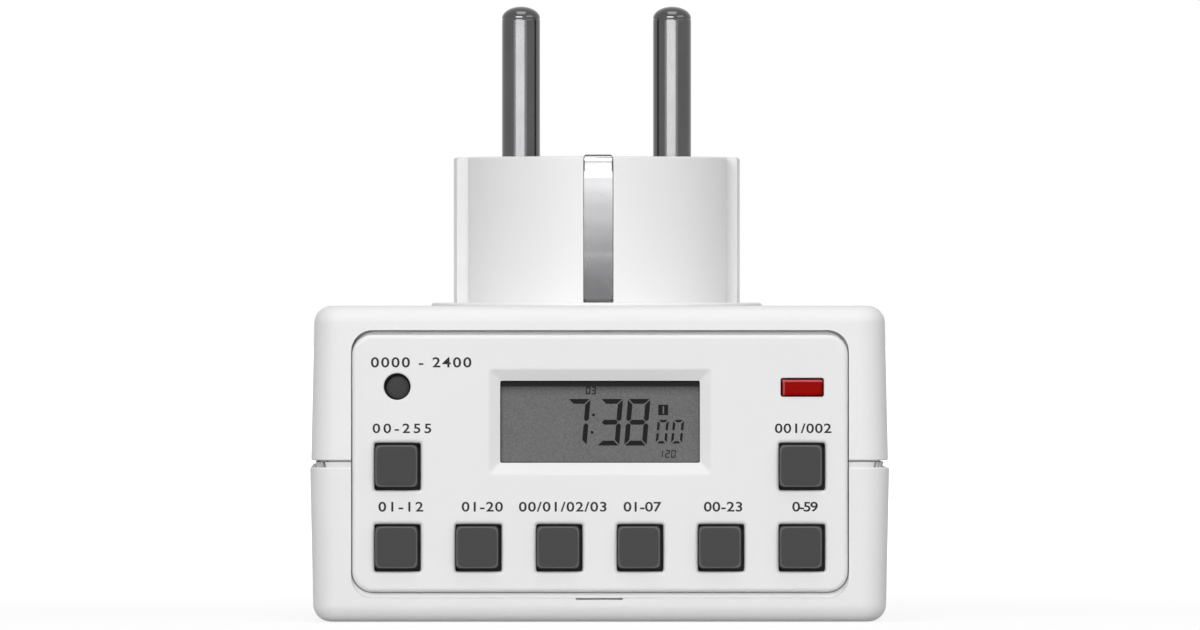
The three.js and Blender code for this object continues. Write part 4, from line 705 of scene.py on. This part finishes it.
def upper_housing():
    skin = rounding(upper_ring, JOINT_EDGE, UPPER_START, -1, 4)[::-1] + rounding(upper_ring, EDGE, HEIGHT, 1)
    shell = body("upper_shell", skin)
    cavity = body("cavity", [upper_ring(UPPER_START - 1, WALL, INNER), upper_ring(CEILING, WALL, INNER)])
    rebate = body("rebate", [upper_ring(UPPER_START - 1, 0.95, INNER), upper_ring(22.16, 0.95, INNER)])
    cut(shell, cavity, rebate)
    columns = [prism("column", circle(COLUMN_RADIUS, x, y, 48), UPPER_START, CEILING + 1) for x, y in SCREWS]
    joined(shell, *columns)
    profile = [
        (1.6, 18), (1.6, SCREW_SEAT), (3.1, SCREW_SEAT), (3.1, HEIGHT - 0.25), (3.35, HEIGHT), (3.6, 40.1),
    ]
    bores = [turned("counterbore", profile, x, y, segments=64) for x, y in SCREWS]
    seat = prism("seat", circle(20.85, 0, AXIS, 160), FLANGE_BOTTOM - 0.1, HEIGHT + 1)
    conductors = prism("conductors", rectangle(-11.8, -0.65, 11.8, 12.95), CEILING - 1, HEIGHT)
    holes = [prism("hole", circle(1.6, x, y, 32), CEILING - 1, HEIGHT) for x, y in PLUG_SCREWS]
    cut(shell, *bores, seat, conductors, *holes, *panel_opening())
    finished(smoothed(simplified(shell)), housing_plastic, ["upper_housing"])


def lower_housing():
    skin = rounding(lower_ring, EDGE, 0, -1)[::-1] + rounding(lower_ring, JOINT_EDGE, LOWER_TOP, 1, 4)
    shell = body("lower_shell", skin)
    band_top = UPPER_START - GROOVE_LINE
    band_foot = upper_ring(18.1, GROOVE_INSET + 0.45, 2.4)
    band = body("band", [band_foot, upper_ring(band_top, GROOVE_INSET, GROOVE_CORNER)])
    tongue = body("tongue", [upper_ring(18.96, 1.2, 2.0), upper_ring(21.86, 1.2, 2.0)])
    joined(shell, band, tongue)
    levels = ((lower_ring, WALL), (lower_ring, LOWER_TOP), (upper_ring, UPPER_START), (upper_ring, 23))
    cut(shell, body("cavity", [make(level, WALL, INNER) for make, level in levels]))
    tube = prism("tube", circle(21.3, 0, AXIS, 160), 1, 19.5)
    cradle = prism("cradle", circle(6.9, *BATTERY, 64), 1, 10)
    inside = [prism("boss", circle(COLUMN_RADIUS, x, y, 48), 1, UPPER_START - 0.1) for x, y in SCREWS]
    cleared = common(joined(tube, cradle, *inside), lower_limit())
    joined(shell, cleared)
    well = [(21.2, -1), (20.2, 0), (19.95, 0.14), (19.7, 0.35), (19.56, 0.6), (19.5, 0.95), (19.5, 17.5)]
    bore = turned("bore", well, 0, AXIS, segments=160)
    cell = prism("cell", circle(5.9, *BATTERY, 64), 2, 11)
    cut(shell, bore, cell)
    lugs = []
    for side in (-1, 1):
        outline = [(side * 20.4, 1.4), (side * 20.4, 18.5), (side * 16.6, 18.5), (side * 16.6, 4.3)]
        lugs.append(eased(prism("lug", outline, AXIS - 2.5, AXIS + 2.5, "y"), 0.3))
    joined(shell, *lugs)
    tools = []
    for side in (-1, 1):
        low, high = sorted((AXIS + side * 17.1, AXIS + side * 20.5))
        tools.append(prism("clip_slot", rectangle(-2.3, low, 2.3, high), 2.4, 20.5))
        profile = [(3.1, 17.2), (3.1, 17.5), (2.8, 17.8), (2.8, 20.5)]
        tools.append(turned("contact_hole", profile, side * PIN_X, AXIS, segments=64))
    tools += [prism("pilot", circle(1.5, x, y, 32), 8.1, 21) for x, y in SCREWS]
    tools += [prism("relief", circle(4.05, x, y, 48), UPPER_START, 22.9) for x, y in SCREWS]
    tools.append(prism("pry_slot", ring(2.91, 0.11, 0.08, -0.08, 2.84), FRONT - 1, FRONT + 1.9, "y"))
    tools.append(groove_notches())
    cut(shell, *tools, *panel_opening())
    finished(smoothed(simplified(shell)), housing_plastic, ["lower_housing"])


def groove_notches():
    """Narrow notches in the lip of the groove, round each front corner."""
    back = UPPER_SET_IN + GROOVE_INSET + GROOVE_CORNER
    notch = prism("notches", rectangle(-0.23, -0.32, 0.23, 0.95), LOWER_TOP - 0.1, UPPER_START + 0.1)
    return corners_layout().lay(
        notch, housing_plastic, Count=4, Radius=GROOVE_CORNER * MM, Side=(WIDTH / 2 - back) * MM,
        Front=(FRONT + back) * MM, First=math.radians(39.6), Step=math.radians(15),
    )


def lower_limit():
    """The space inside the outer skin of the lower half."""
    inset = 0.8
    corner = CORNER - inset
    sections = [
        lower_ring(0.9, inset, corner), lower_ring(LOWER_TOP, inset, corner), upper_ring(21, inset, 2.2),
    ]
    return body("limit", sections)


# Plug


def plug_body():
    wall = [(18.2, 38.6), (18.2, 57.45), (18.12, 57.62), (17.95, 57.72), (17.8, PLUG_FACE)]
    round_body = turned("plug", wall, 0, AXIS, segments=240)
    core_limit = prism("core_limit", rectangle(-16.15, AXIS - 19, 16.15, AXIS + 19), 38, 59)
    for side in (-1, 1):
        low, high = sorted((AXIS + side * 3.0, AXIS + side * 4.8))
        joined(core_limit, prism("rib_limit", rectangle(-19, low, 19, high), 38, 59))
    common(round_body, core_limit)
    rim = [(20.75, FLANGE_BOTTOM), (20.75, 39.3), (20.69, 39.42), (20.6, 39.48), (20.45, FLANGE_TOP)]
    joined(round_body, turned("flange", rim, 0, AXIS, segments=240))
    cut(round_body, prism("cavity", circle(14.2, 0, AXIS, 96), 37, PLUG_CEILING))
    bosses = [prism("boss", circle(4.5, x, AXIS, 48), 45, 57) for x in (-PIN_X, PIN_X)]
    bosses += [prism("boss", circle(2.7, x, y, 48), FLANGE_BOTTOM, 51) for x, y in PLUG_SCREWS]
    joined(round_body, *bosses)
    profile = [(2.5, 38), (2.5, 57.6), (2.62, PLUG_FACE), (2.9, 58.2)]
    tools = [turned("pin_hole", profile, x, AXIS, segments=64) for x in (-PIN_X, PIN_X)]
    tools += [prism("screw_hole", circle(1.4, x, y, 32), 37, 48.25) for x, y in PLUG_SCREWS]
    half = 1.88
    for side in (-1, 1):
        for inner, outer, low, high in (
            (16.3, 19.2, FLANGE_TOP, 59),
            (12.95, 19.2, PLUG_FACE - 2.6, 59),
            (12.95, 14.2, PLUG_CEILING - 1, PLUG_FACE),
        ):
            y0, y1 = sorted((AXIS + side * inner, AXIS + side * outer))
            tools.append(prism("strip_way", rectangle(-half, y0, half, y1), low, high))
    cut(round_body, *tools)
    finished(smoothed(simplified(round_body)), plug_plastic, ["plug_body"])


def plug_pin(side):
    """A pin with its foot, a fine turned line below the tip, and the rounded tip."""
    tip, dome, line = PLUG_FACE + 19, 1.5, PIN_RADIUS - 0.03
    profile = [(3.2, 43.05), (3.2, 44.05), (PIN_RADIUS, 44.05), (PIN_RADIUS, tip - 1.75), (line, tip - 1.7),
               (line, tip - 1.6), (PIN_RADIUS, tip - 1.55)]
    profile += [(PIN_RADIUS * cosine, tip - dome + dome * sine) for sine, cosine in quarter_turn(14)]
    name = "plug_pin_left" if side < 0 else "plug_pin_right"
    pin = turned(name + "_turned", profile, side * PIN_X, AXIS)
    finished(smoothed(pin, 40), nickel, [name])


def curved(points, steps=6):
    """Points of a smooth curve through the given ones."""
    found = []
    for i in range(len(points) - 1):
        p = [Vector(points[max(min(j, len(points) - 1), 0)]) for j in (i - 1, i, i + 1, i + 2)]
        for step in range(steps):
            t = step / steps
            found.append(
                0.5 * (2 * p[1] + (p[2] - p[0]) * t + (2 * p[0] - 5 * p[1] + 4 * p[2] - p[3]) * t * t
                       + (3 * p[1] - p[0] - 3 * p[2] + p[3]) * t ** 3)
            )
    found.append(Vector(points[-1]))
    return found


def strip_outline(middle, thickness):
    """The outline of a bent strip, seen from its edge, round its middle line."""
    sides = ([], [])
    for i, point in enumerate(middle):
        along = (middle[min(i + 1, len(middle) - 1)] - middle[max(i - 1, 0)]).normalized()
        across = Vector((-along.y, along.x)) * thickness / 2
        sides[0].append(tuple(point + across))
        sides[1].append(tuple(point - across))
    return sides[0] + sides[1][::-1]


def strip(name, arm, thickness, width):
    """A bent strip through both arms, front and back of the plug's axis: arm is [(radius, level)]."""
    front = [(AXIS - radius, level) for radius, level in arm][::-1]
    back = [(AXIS + radius, level) for radius, level in arm]
    outline = strip_outline([*curved(front), *curved(back)], thickness)
    return prism(name, outline, -width / 2, width / 2, "x")


def earth_strip():
    """Both arms: up inside the plug, over its face, then down outside it, leaning out and back in."""
    thickness, proud = 0.5, 0.2
    top = PLUG_FACE + proud - thickness / 2
    arm = [
        (13.5, 44.75), (13.5, 50), (13.5, top - 1.5), (13.935, top - 0.7), (14.6, top), (15.3, top),
        (15.85, top), (16.0, top - 0.05), (16.07, top - 0.2), (16.13, top - 0.5), (16.23, top - 0.9),
        (16.33, top - 1.4), (16.57, top - 2.6), (16.81, top - 4), (17.02, top - 5.5), (17.2, top - 7),
        (17.38, top - 8.6), (17.56, top - 10.5), (17.64, top - 11.8), (17.65, top - 12.8),
        (17.59, top - 14.6), (17.49, top - 16.3), (17.35, FLANGE_TOP),
    ]
    piece = strip("earth_strip", arm, thickness, STRIP_WIDTH)
    half_height, top_room, side_rounding = 9.3, 0.45, 0.7
    outline = ring(STRIP_WIDTH / 2, half_height, side_rounding, 0, PLUG_FACE + top_room - half_height)
    limit = prism("limit", outline, AXIS - 25, AXIS + 25, "y")
    common(piece, limit)
    finished(smoothed(eased(piece, 0.07, 2)), strip_nickel, ["plug_earth_strip"])


def earth_clip():
    arm = [(18.9, 23.5), (18.9, 19.5), (18.9, 15), (17.9, 13.5), (16.9, 10.4), (17.2, 6.5), (18.4, 3.6)]
    piece = strip("earth_clip", arm, 0.6, 4.0)
    finished(smoothed(eased(piece, 0.1, 2)), strip_nickel, ["socket_earth_clip"])


# Control panel


def lipped(name, half_u, half_v, radius, lip, x, z, steps=6):
    """A hole through the panel whose outer edge is rounded."""
    def section(grown, level):
        return (ring(half_u + grown, half_v + grown, radius + grown, x, z, 8), level)

    sections = [section(lip * 1.6, PANEL_FACE - 0.2)]
    for step in range(steps + 1):
        depth = lip * step / steps
        grown = lip - math.sqrt(max(lip * lip - (lip - depth) ** 2, 0.0))
        sections.append(section(grown, PANEL_FACE + depth))
    return body(name, [*sections, section(0, PANEL_RIM + 1)], "y")


def control_panel():
    def section(inset, level):
        half_u, half_v = PANEL_WIDTH / 2 - inset, PANEL_HEIGHT / 2 - inset
        return (ring(half_u, half_v, PANEL_CORNER - inset, 0, PANEL_CENTRE), level)

    rounded = 0.55
    edge = [
        section(rounded * (1 - sine), PANEL_FACE + rounded * (1 - cosine)) for sine, cosine in quarter_turn(8)
    ]
    plate = body("panel_plate", [*edge, section(0, PANEL_RIM)], "y")
    top = ring(PANEL_WIDTH / 2 - 0.2, PANEL_HEIGHT / 2, PANEL_CORNER, 0, PANEL_CENTRE + 0.36)
    joined(plate, prism("top_ledge", top, PANEL_FACE + 1.95, PANEL_RIM, "y"))
    joined(plate, body("rim", [section(-1.3, PANEL_RIM), section(-1.3, -24.8)], "y"))
    cut(plate, body("pocket", [section(1.7, PANEL_BACK), section(1.7, -23.8)], "y"))
    bosses = [prism("boss", circle(1.7, x, z, 32), PANEL_BACK - 0.1, BOARD_FRONT - 0.1, "y")
              for x in (-18.5, 18.5) for z in (14.245, 33)]
    joined(plate, *bosses)
    width, height, level = WINDOW
    bevel = [
        (ring(width / 2 + grown, height / 2 + grown, radius, 0, level, 4), PANEL_FACE + depth)
        for grown, radius, depth in (
            (1.9, 0.8, -0.2), (1.62, 0.6, 0), (1.4, 0.5, 0.03),
            (1.22, 0.45, 0.1), (0, 0.2, 0.74), (0, 0.2, 3.8),
        )
    ]
    window = body("window", bevel, "y")
    cell = prism("cell", ring(14.6, 8.0, 0.35, 0, level, 4), GLASS_FACE - 0.1, PANEL_RIM + 1, "y")
    holes = [lipped("key_way", 2.85, 2.92, 0.25, 0.5, x - 0.03, z + 0.05) for x, z in KEYS.values()]
    holes.append(lipped("lamp_way", 2.665, 1.155, 0.25, 0.12, *LAMP))
    holes.append(lipped("reset_way", 1.65, 1.65, 1.6499, 0.2, -25.08, 29.1))
    cut(plate, window, cell, *holes)
    finished(smoothed(simplified(plate)), panel_plastic, ["control_panel"])


def key_cap(name, x, z):
    """A cap with a softly rounded edge, the flange behind the panel and its stem."""
    x, z, edge, crown = x + KEY_SHIFT[0], z + KEY_SHIFT[1], 0.2, 0.03
    wide, tall = KEY_HALF
    front = FRONT - 0.9
    sections = [(ring(wide - edge - 0.5, tall - edge - 0.5, 0.1, x, z, 6), front)]
    for sine, cosine in quarter_turn(6):
        inset = edge * (1 - sine)
        level = front + crown + edge * (1 - cosine)
        sections.append((ring(wide - inset, tall - inset, 0.5 - inset * 0.6, x, z, 6), level))
    sections.append((ring(wide, tall, 0.5, x, z, 6), -26))
    cap = body(name + "_cap", sections, "y")
    flange = prism("flange", ring(3.275, 3.275, 0.5, x, z, 6), -26.2, -25.5, "y")
    joined(cap, flange, prism("stem", circle(2.1, x, z, 48), -25.85, BOARD_FRONT - 0.8, "y"))
    finished(smoothed(cap), key_silicone, [name], name)


def reset_cap():
    front = PANEL_FACE + 0.5
    profile = [
        (0, front), (0.9, front + 0.02), (1.15, front + 0.06), (1.28, front + 0.16),
        (RESET_ROUNDING, front + 0.32), (RESET_RADIUS, front + 0.5), (RESET_RADIUS, -26.2),
        (2.15, -26.2), (2.15, -25.5), (1.1, -25.5), (1.1, -21.3),
    ]
    cap = turned("reset_cap", profile, *RESET, "y", 64)
    finished(smoothed(cap), reset_silicone, ["key_reset"], "key_reset")


def lamp_lens():
    """The lamp's lens with its rounded face, the flange at its back and its two legs."""
    (wide, tall), (x, z) = LAMP_HALF, LAMP
    front, depth = PANEL_FACE - 0.25, 6.6
    face = ((0.3, 0), (0.2, 0.03), (0.1, 0.1), (0.03, 0.2), (0, 0.32), (0, depth))
    sections = [(ring(wide - inset, tall - inset, 0.16, x, z, 4), front + back) for inset, back in face]
    lens = body("lamp_lens", sections, "y")
    flange = prism("flange", ring(2.85, 1.35, 0.3, x, z, 4), front + depth - 1, front + depth, "y")
    legs = []
    for u in (-1.27, 1.27):
        outline = rectangle(x + u - 0.25, z - 0.25, x + u + 0.25, z + 0.25)
        legs.append(prism("leg", outline, front + 6.1, BOARD_FRONT, "y"))
    joined(lens, flange, *legs)
    finished(smoothed(lens), red_resin, ["indicator_lamp"])


# Marks on the display and the panel


def flat_marks(name, outlines, level, thickness):
    """Thin plates in the panel's plane, as one piece: each outline is [(x, z)] in millimetres."""
    points, faces = [], []
    for outline in outlines:
        start, count = len(points), len(outline)
        points += [(x, level, z) for x, z in outline] + [(x, level + thickness, z) for x, z in outline]
        faces.append([start + i for i in range(count)])
        faces.append([start + count + i for i in range(count)])
        for i in range(count):
            j = (i + 1) % count
            faces.append([start + i, start + j, start + count + j, start + count + i])
    finished(made(name, points, faces), display_ink)


SEGMENTS = {
    "0": "abcdef", "1": "bc", "2": "abged", "3": "abgcd", "4": "fgbc",
    "5": "afgcd", "6": "afgecd", "7": "abc", "8": "abcdefg", "9": "abcdfg",
}


def digit_outlines(figure, left, right, top, bottom, stroke, gap, slant):
    """The lit segments of one figure with mitred ends: its box and sizes are in photograph pixels."""
    x0, z0 = panel_x(left), panel_z(bottom)
    height = panel_z(top) - z0
    width = panel_x(right) - x0 - slant * height
    w, g, middle = stroke / PIXELS_PER_MM, gap / PIXELS_PER_MM, height / 2
    across = [(g, 0), (width - g, 0), (width - w - g, w), (w + g, w)]
    side = [(0, g), (w, w + g), (w, middle - w / 2 - g / 2), (w / 2, middle - g), (0, middle - w / 2 - g / 2)]
    bar = [(w / 2 + g, middle), (w + g / 2, middle + w / 2), (width - w - g / 2, middle + w / 2),
           (width - w / 2 - g, middle), (width - w - g / 2, middle - w / 2), (w + g / 2, middle - w / 2)]
    mirrored = {
        "a": (across, False, True), "d": (across, False, False), "g": (bar, False, False),
        "e": (side, False, False), "f": (side, False, True),
        "c": (side, True, False), "b": (side, True, True),
    }
    outlines = []
    for name in SEGMENTS[figure]:
        shape, swap, turn = mirrored[name]
        shape = [(width - u if swap else u, height - v if turn else v) for u, v in shape]
        outlines.append([(x0 + u + slant * v, z0 + v) for u, v in shape])
    return outlines


# The display's rows in photograph pixels: each figure with its left edge, then the row's width, top, bottom,
# stroke and gap, and its slant
FIGURE_ROWS = [
    ([("7", 565.4), ("3", 598.0), ("8", 625.4)], (26.4, 399, 445.6, 4.8, 0.9, 0.085)),
    ([("0", 656.8), ("0", 672.2)], (13.4, 420, 443.6, 2.4, 1.3, 0.1)),
    ([("0", 587.0), ("3", 592.4)], (4.9, 386.6, 394.4, 1.25, 0.12, 0.05)),
    ([("1", 659.6), ("2", 666.4), ("0", 672.4)], (4.8, 450.2, 457.8, 0.95, 0.1, 0.05)),
]
# The two dots of the time, and the bars of the small framed mark: left, top, right and bottom
COLON_DOTS = [(594.8, 415), (593.3, 432.4)]
COLON_RADIUS = 1.5
MARK_BARS = [
    (659.6, 404.8, 663.9, 415.2), (665.4, 404.8, 669.4, 415.2),
    (663.9, 404.8, 665.4, 406.2), (663.9, 413.8, 665.4, 415.2),
]


def display_marks():
    """The figures that the display shows: the time, its seconds and small marks round them."""
    outlines = []
    for figures, (width, *row) in FIGURE_ROWS:
        for figure, left in figures:
            outlines += digit_outlines(figure, left, left + width, *row)
    for x, y in COLON_DOTS:
        outlines.append(circle(COLON_RADIUS / PIXELS_PER_MM, panel_x(x), panel_z(y), 16))
    for left, top, right, bottom in MARK_BARS:
        outlines.append(rectangle(panel_x(left), panel_z(bottom), panel_x(right), panel_z(top)))
    flat_marks("display_figures", outlines, GLASS_FACE - 0.02, 0.012)


def display_gasket_and_shade_band():
    """The black gasket between the window and the glass: a thin frame, with a wider band at the top that is a
    dark strip standing in for the shadow under the window's top edge.
    """
    width, height, level = WINDOW
    low = GLASS_FACE - 0.09
    outline = ring(width / 2 + 1.0, height / 2 + 1.0, 0.3, 0, level, 4)
    outer = prism("display_gasket_and_shade_band", outline, low, GLASS_FACE - 0.015, "y")
    # The opening sits low, so that the black band at the top stands in for painted shade
    opening = ring(width / 2 - 0.09, height / 2 - 0.4, 0.1, 0, level - 0.31, 4)
    cut(outer, prism("opening", opening, low - 1, GLASS_FACE + 1, "y"))
    finished(smoothed(outer), gasket_and_shade_black)


def lettering(text, spacing):
    """Figures as a flat mesh of one unit's height, with their spacing."""
    curve = bpy.data.curves.new(text, "FONT")
    curve.body = text
    curve.space_character = spacing
    curve.offset = 0.016
    curve.extrude = 0.01
    curve.resolution_u = 6
    holder = linked(text, curve)
    graph = bpy.context.evaluated_depsgraph_get()
    graph.update()
    mesh = bpy.data.meshes.new_from_object(holder.evaluated_get(graph))
    bpy.data.objects.remove(holder)
    return mesh


def extent(mesh, axis):
    values = [vertex.co[axis] for vertex in mesh.vertices]
    return min(values), max(values)


# How much wider than the typeface's the figures on the panel are
LETTER_WIDENING = 1.22


def label(name, text, left, right, top, bottom):
    """Printed figures as tall and as wide as their box in photograph pixels."""
    figure_low, figure_high = extent(lettering("8", 1.0), 1)
    scale = (panel_z(top) - panel_z(bottom)) / (figure_high - figure_low)
    wide = scale * LETTER_WIDENING
    target = (panel_x(right) - panel_x(left)) / wide
    low, high = extent(lettering(text, 1.0), 0)
    wide_low, wide_high = extent(lettering(text, 2.0), 0)
    natural, growth = high - low, (wide_high - wide_low) - (high - low)
    mesh = lettering(text, 1.0 + (target - natural) / growth)
    start = extent(mesh, 0)[0]
    shape = bmesh.new()
    shape.from_mesh(mesh)
    for vertex in shape.verts:
        x, z, depth = vertex.co
        vertex.co = Vector((
            panel_x(left) + (x - start) * wide,
            PANEL_FACE - 0.008 - 0.4 * depth,
            panel_z(bottom) + (z - figure_low) * scale,
        )) * MM
    bmesh.ops.remove_doubles(shape, verts=shape.verts, dist=1e-7)
    bmesh.ops.recalc_face_normals(shape, faces=shape.faces)
    shape.to_mesh(mesh)
    shape.free()
    finished(linked(name, mesh), label_ink)


# Each label's figures and its left, right, top and bottom in the photograph
LABELS = {
    "label_reset": ("0000 - 2400", 372, 472.5, 357.2, 367.5),
    "label_random": ("00-255", 373.7, 432.4, 423.5, 433.2),
    "label_clock": ("01-12", 379.5, 424.3, 501.8, 511.7),
    "label_timer": ("01-20", 462.8, 504, 501.8, 511.7),
    "label_mode": ("00/01/02/03", 520, 607.6, 501.8, 511.7),
    "label_week": ("01-07", 624.7, 662.6, 501.8, 511.7),
    "label_hour": ("00-23", 705, 743.4, 501.8, 511.7),
    "label_minute": ("0-59", 793.4, 819.0, 501.8, 511.7),
    "label_recall": ("001/002", 776, 832.5, 423.5, 433.2),
}


# Screws


def housing_screws():
    """Four pan heads with cross recesses, each on the shank that its counterbore hides."""
    seat = SCREW_SEAT
    profile = [
        (0, seat - 17), (0.7, seat - 17), (1.4, seat - 15.6), (1.4, seat), (2.8, seat), (2.8, seat + 1.5),
        (2.72, seat + 1.75), (2.5, seat + 1.93), (2.1, seat + 2.03), (1.4, seat + 2.09), (0, seat + 2.1),
    ]
    screw = turned("housing_screws", profile, segments=64)
    cross = ((0.4, 1.4), (1.4, 0.4))
    slots = [prism("slot", rectangle(-u, -v, u, v), seat + 1.0, seat + 3) for u, v in cross]
    smoothed(cut(screw, *slots))
    (left, front), (right, rear) = SCREWS[0], SCREWS[-1]
    steel = FINISHES["zinc_steel"]
    rows_layout().lay(screw, steel, Width=(right - left) * MM, Depth=(rear - front) * MM, Columns=2, Rows=2,
                      Forward=(front + rear) / 2 * MM)
    names = ["housing_screw_" + name for name in ("front_left", "front_right", "rear_left", "rear_right")]
    finished(screw, steel, names)


upper_housing()
lower_housing()
plug_body()
plug_pin(-1)
plug_pin(1)
earth_strip()
earth_clip()
control_panel()
for name, (x, z) in KEYS.items():
    key_cap(name, x, z)
reset_cap()
lamp_lens()
display_marks()
display_gasket_and_shade_band()
for name, (text, left, right, top, bottom) in LABELS.items():
    label(name, text, left, right, top, bottom)
housing_screws()


# Studio


def studio_plane(name, corners, material):
    mesh = bpy.data.meshes.new(name)
    mesh.from_pydata(corners, [], [(0, 1, 2, 3)])
    mesh.materials.append(material)
    linked(name, mesh)


def backdrop_material(name, kept, reach):
    """White to the camera and reflections, with a part of the object's shadow kept near the object."""
    sheet = Shader(name, Base_Color=(0.5, 0.5, 0.5), Roughness=0.9, Specular_IOR_Level=0.0)
    glow = sheet.node("ShaderNodeEmission", {}, {"Strength": 1.3})
    surface = Wire(sheet, sheet.surface.outputs[0])
    x, y = sheet.axis("X") / reach, sheet.axis("Y") / reach
    near = sheet.limited(1.0 - x * x - y * y)
    white = sheet.seen() * (1.0 - near * kept)
    blend = sheet.node("ShaderNodeMixShader", {}, {0: white, 1: surface, 2: glow})
    sheet.feed(sheet.tree.nodes["Material Output"].inputs["Surface"], blend)
    return sheet.material


# The lamps look at this level, in metres
LAMP_AIM = 0.04


def lamp(name, azimuth, elevation, distance, size, radiance):
    """A soft panel that looks at the object from an angle: azimuth 0 is the camera's side, 90 the right."""
    light = bpy.data.lights.new(name, "AREA")
    light.shape = "RECTANGLE"
    light.size, light.size_y = size
    light.energy = radiance * math.pi * size[0] * size[1]
    holder = linked(name, light)
    turn, rise = math.radians(azimuth), math.radians(elevation)
    away = Vector((math.sin(turn) * math.cos(rise), -math.cos(turn) * math.cos(rise), math.sin(rise)))
    holder.location = Vector((0, 0, LAMP_AIM)) + away * distance
    holder.rotation_euler = (-away).to_track_quat("-Z", "Y").to_euler()


# The floor lies a hair below the object's underside, and is 60 m wide
FLOOR = -0.1 * MM
floor = [(x, y, FLOOR) for x, y in rectangle(-30, -30, 30, 30)]
studio_plane("floor", floor, backdrop_material("floor_sheet", 0.35, 0.5))
lamp("key_lamp", -13, 22, 2.5, (1.75, 0.65), 8.5)
lamp("strip_lamp", -6.6, 1.6, 2.5, (2.5, 0.11), 7.6)
lamp("strip_lamp_wide", -6, 1.6, 2.5, (4.2, 0.11), 2.0)
lamp("side_lamp", 55, 28, 2.5, (1.8, 0.8), 1.9)
lamp("top_lamp", 0, 78, 2.2, (1.4, 1.4), 2.6)

SKY_LIGHT = 0.2
world = bpy.data.worlds.new("studio")
bpy.context.scene.world = world
world.use_nodes = True
sky = Nodes(world.node_tree)
background = sky.tree.nodes["Background"]
sky.feed(background.inputs["Color"], (1.0, 1.0, 1.0))
sky.feed(background.inputs["Strength"], sky.seen() * (1.0 - SKY_LIGHT) + SKY_LIGHT)

# Camera: level with the housing's top, a little to the panel's left, and shifted by a part of a pixel
YAW = math.radians(0.73)
DISTANCE = 1.985
SHIFT_PIXELS = -0.1
PICTURE_WIDTH = 1200
SENSOR_WIDTH = 36
camera_data = bpy.data.cameras.new("camera")
camera_data.sensor_width = SENSOR_WIDTH
camera_data.lens = PIXELS_PER_MM * DISTANCE * 1000 / PICTURE_WIDTH * SENSOR_WIDTH
camera_data.clip_end = 20
camera = linked("camera", camera_data)
centre = Vector((SHIFT_PIXELS / PIXELS_PER_MM * MM, PANEL_FACE * MM, EYE_HEIGHT * MM))
camera.location = centre - DISTANCE * Vector((math.sin(YAW), math.cos(YAW), 0))
camera.rotation_euler = (math.pi / 2, 0, -YAW)
bpy.context.scene.camera = camera
bpy.context.scene.view_settings.view_transform = "Standard"
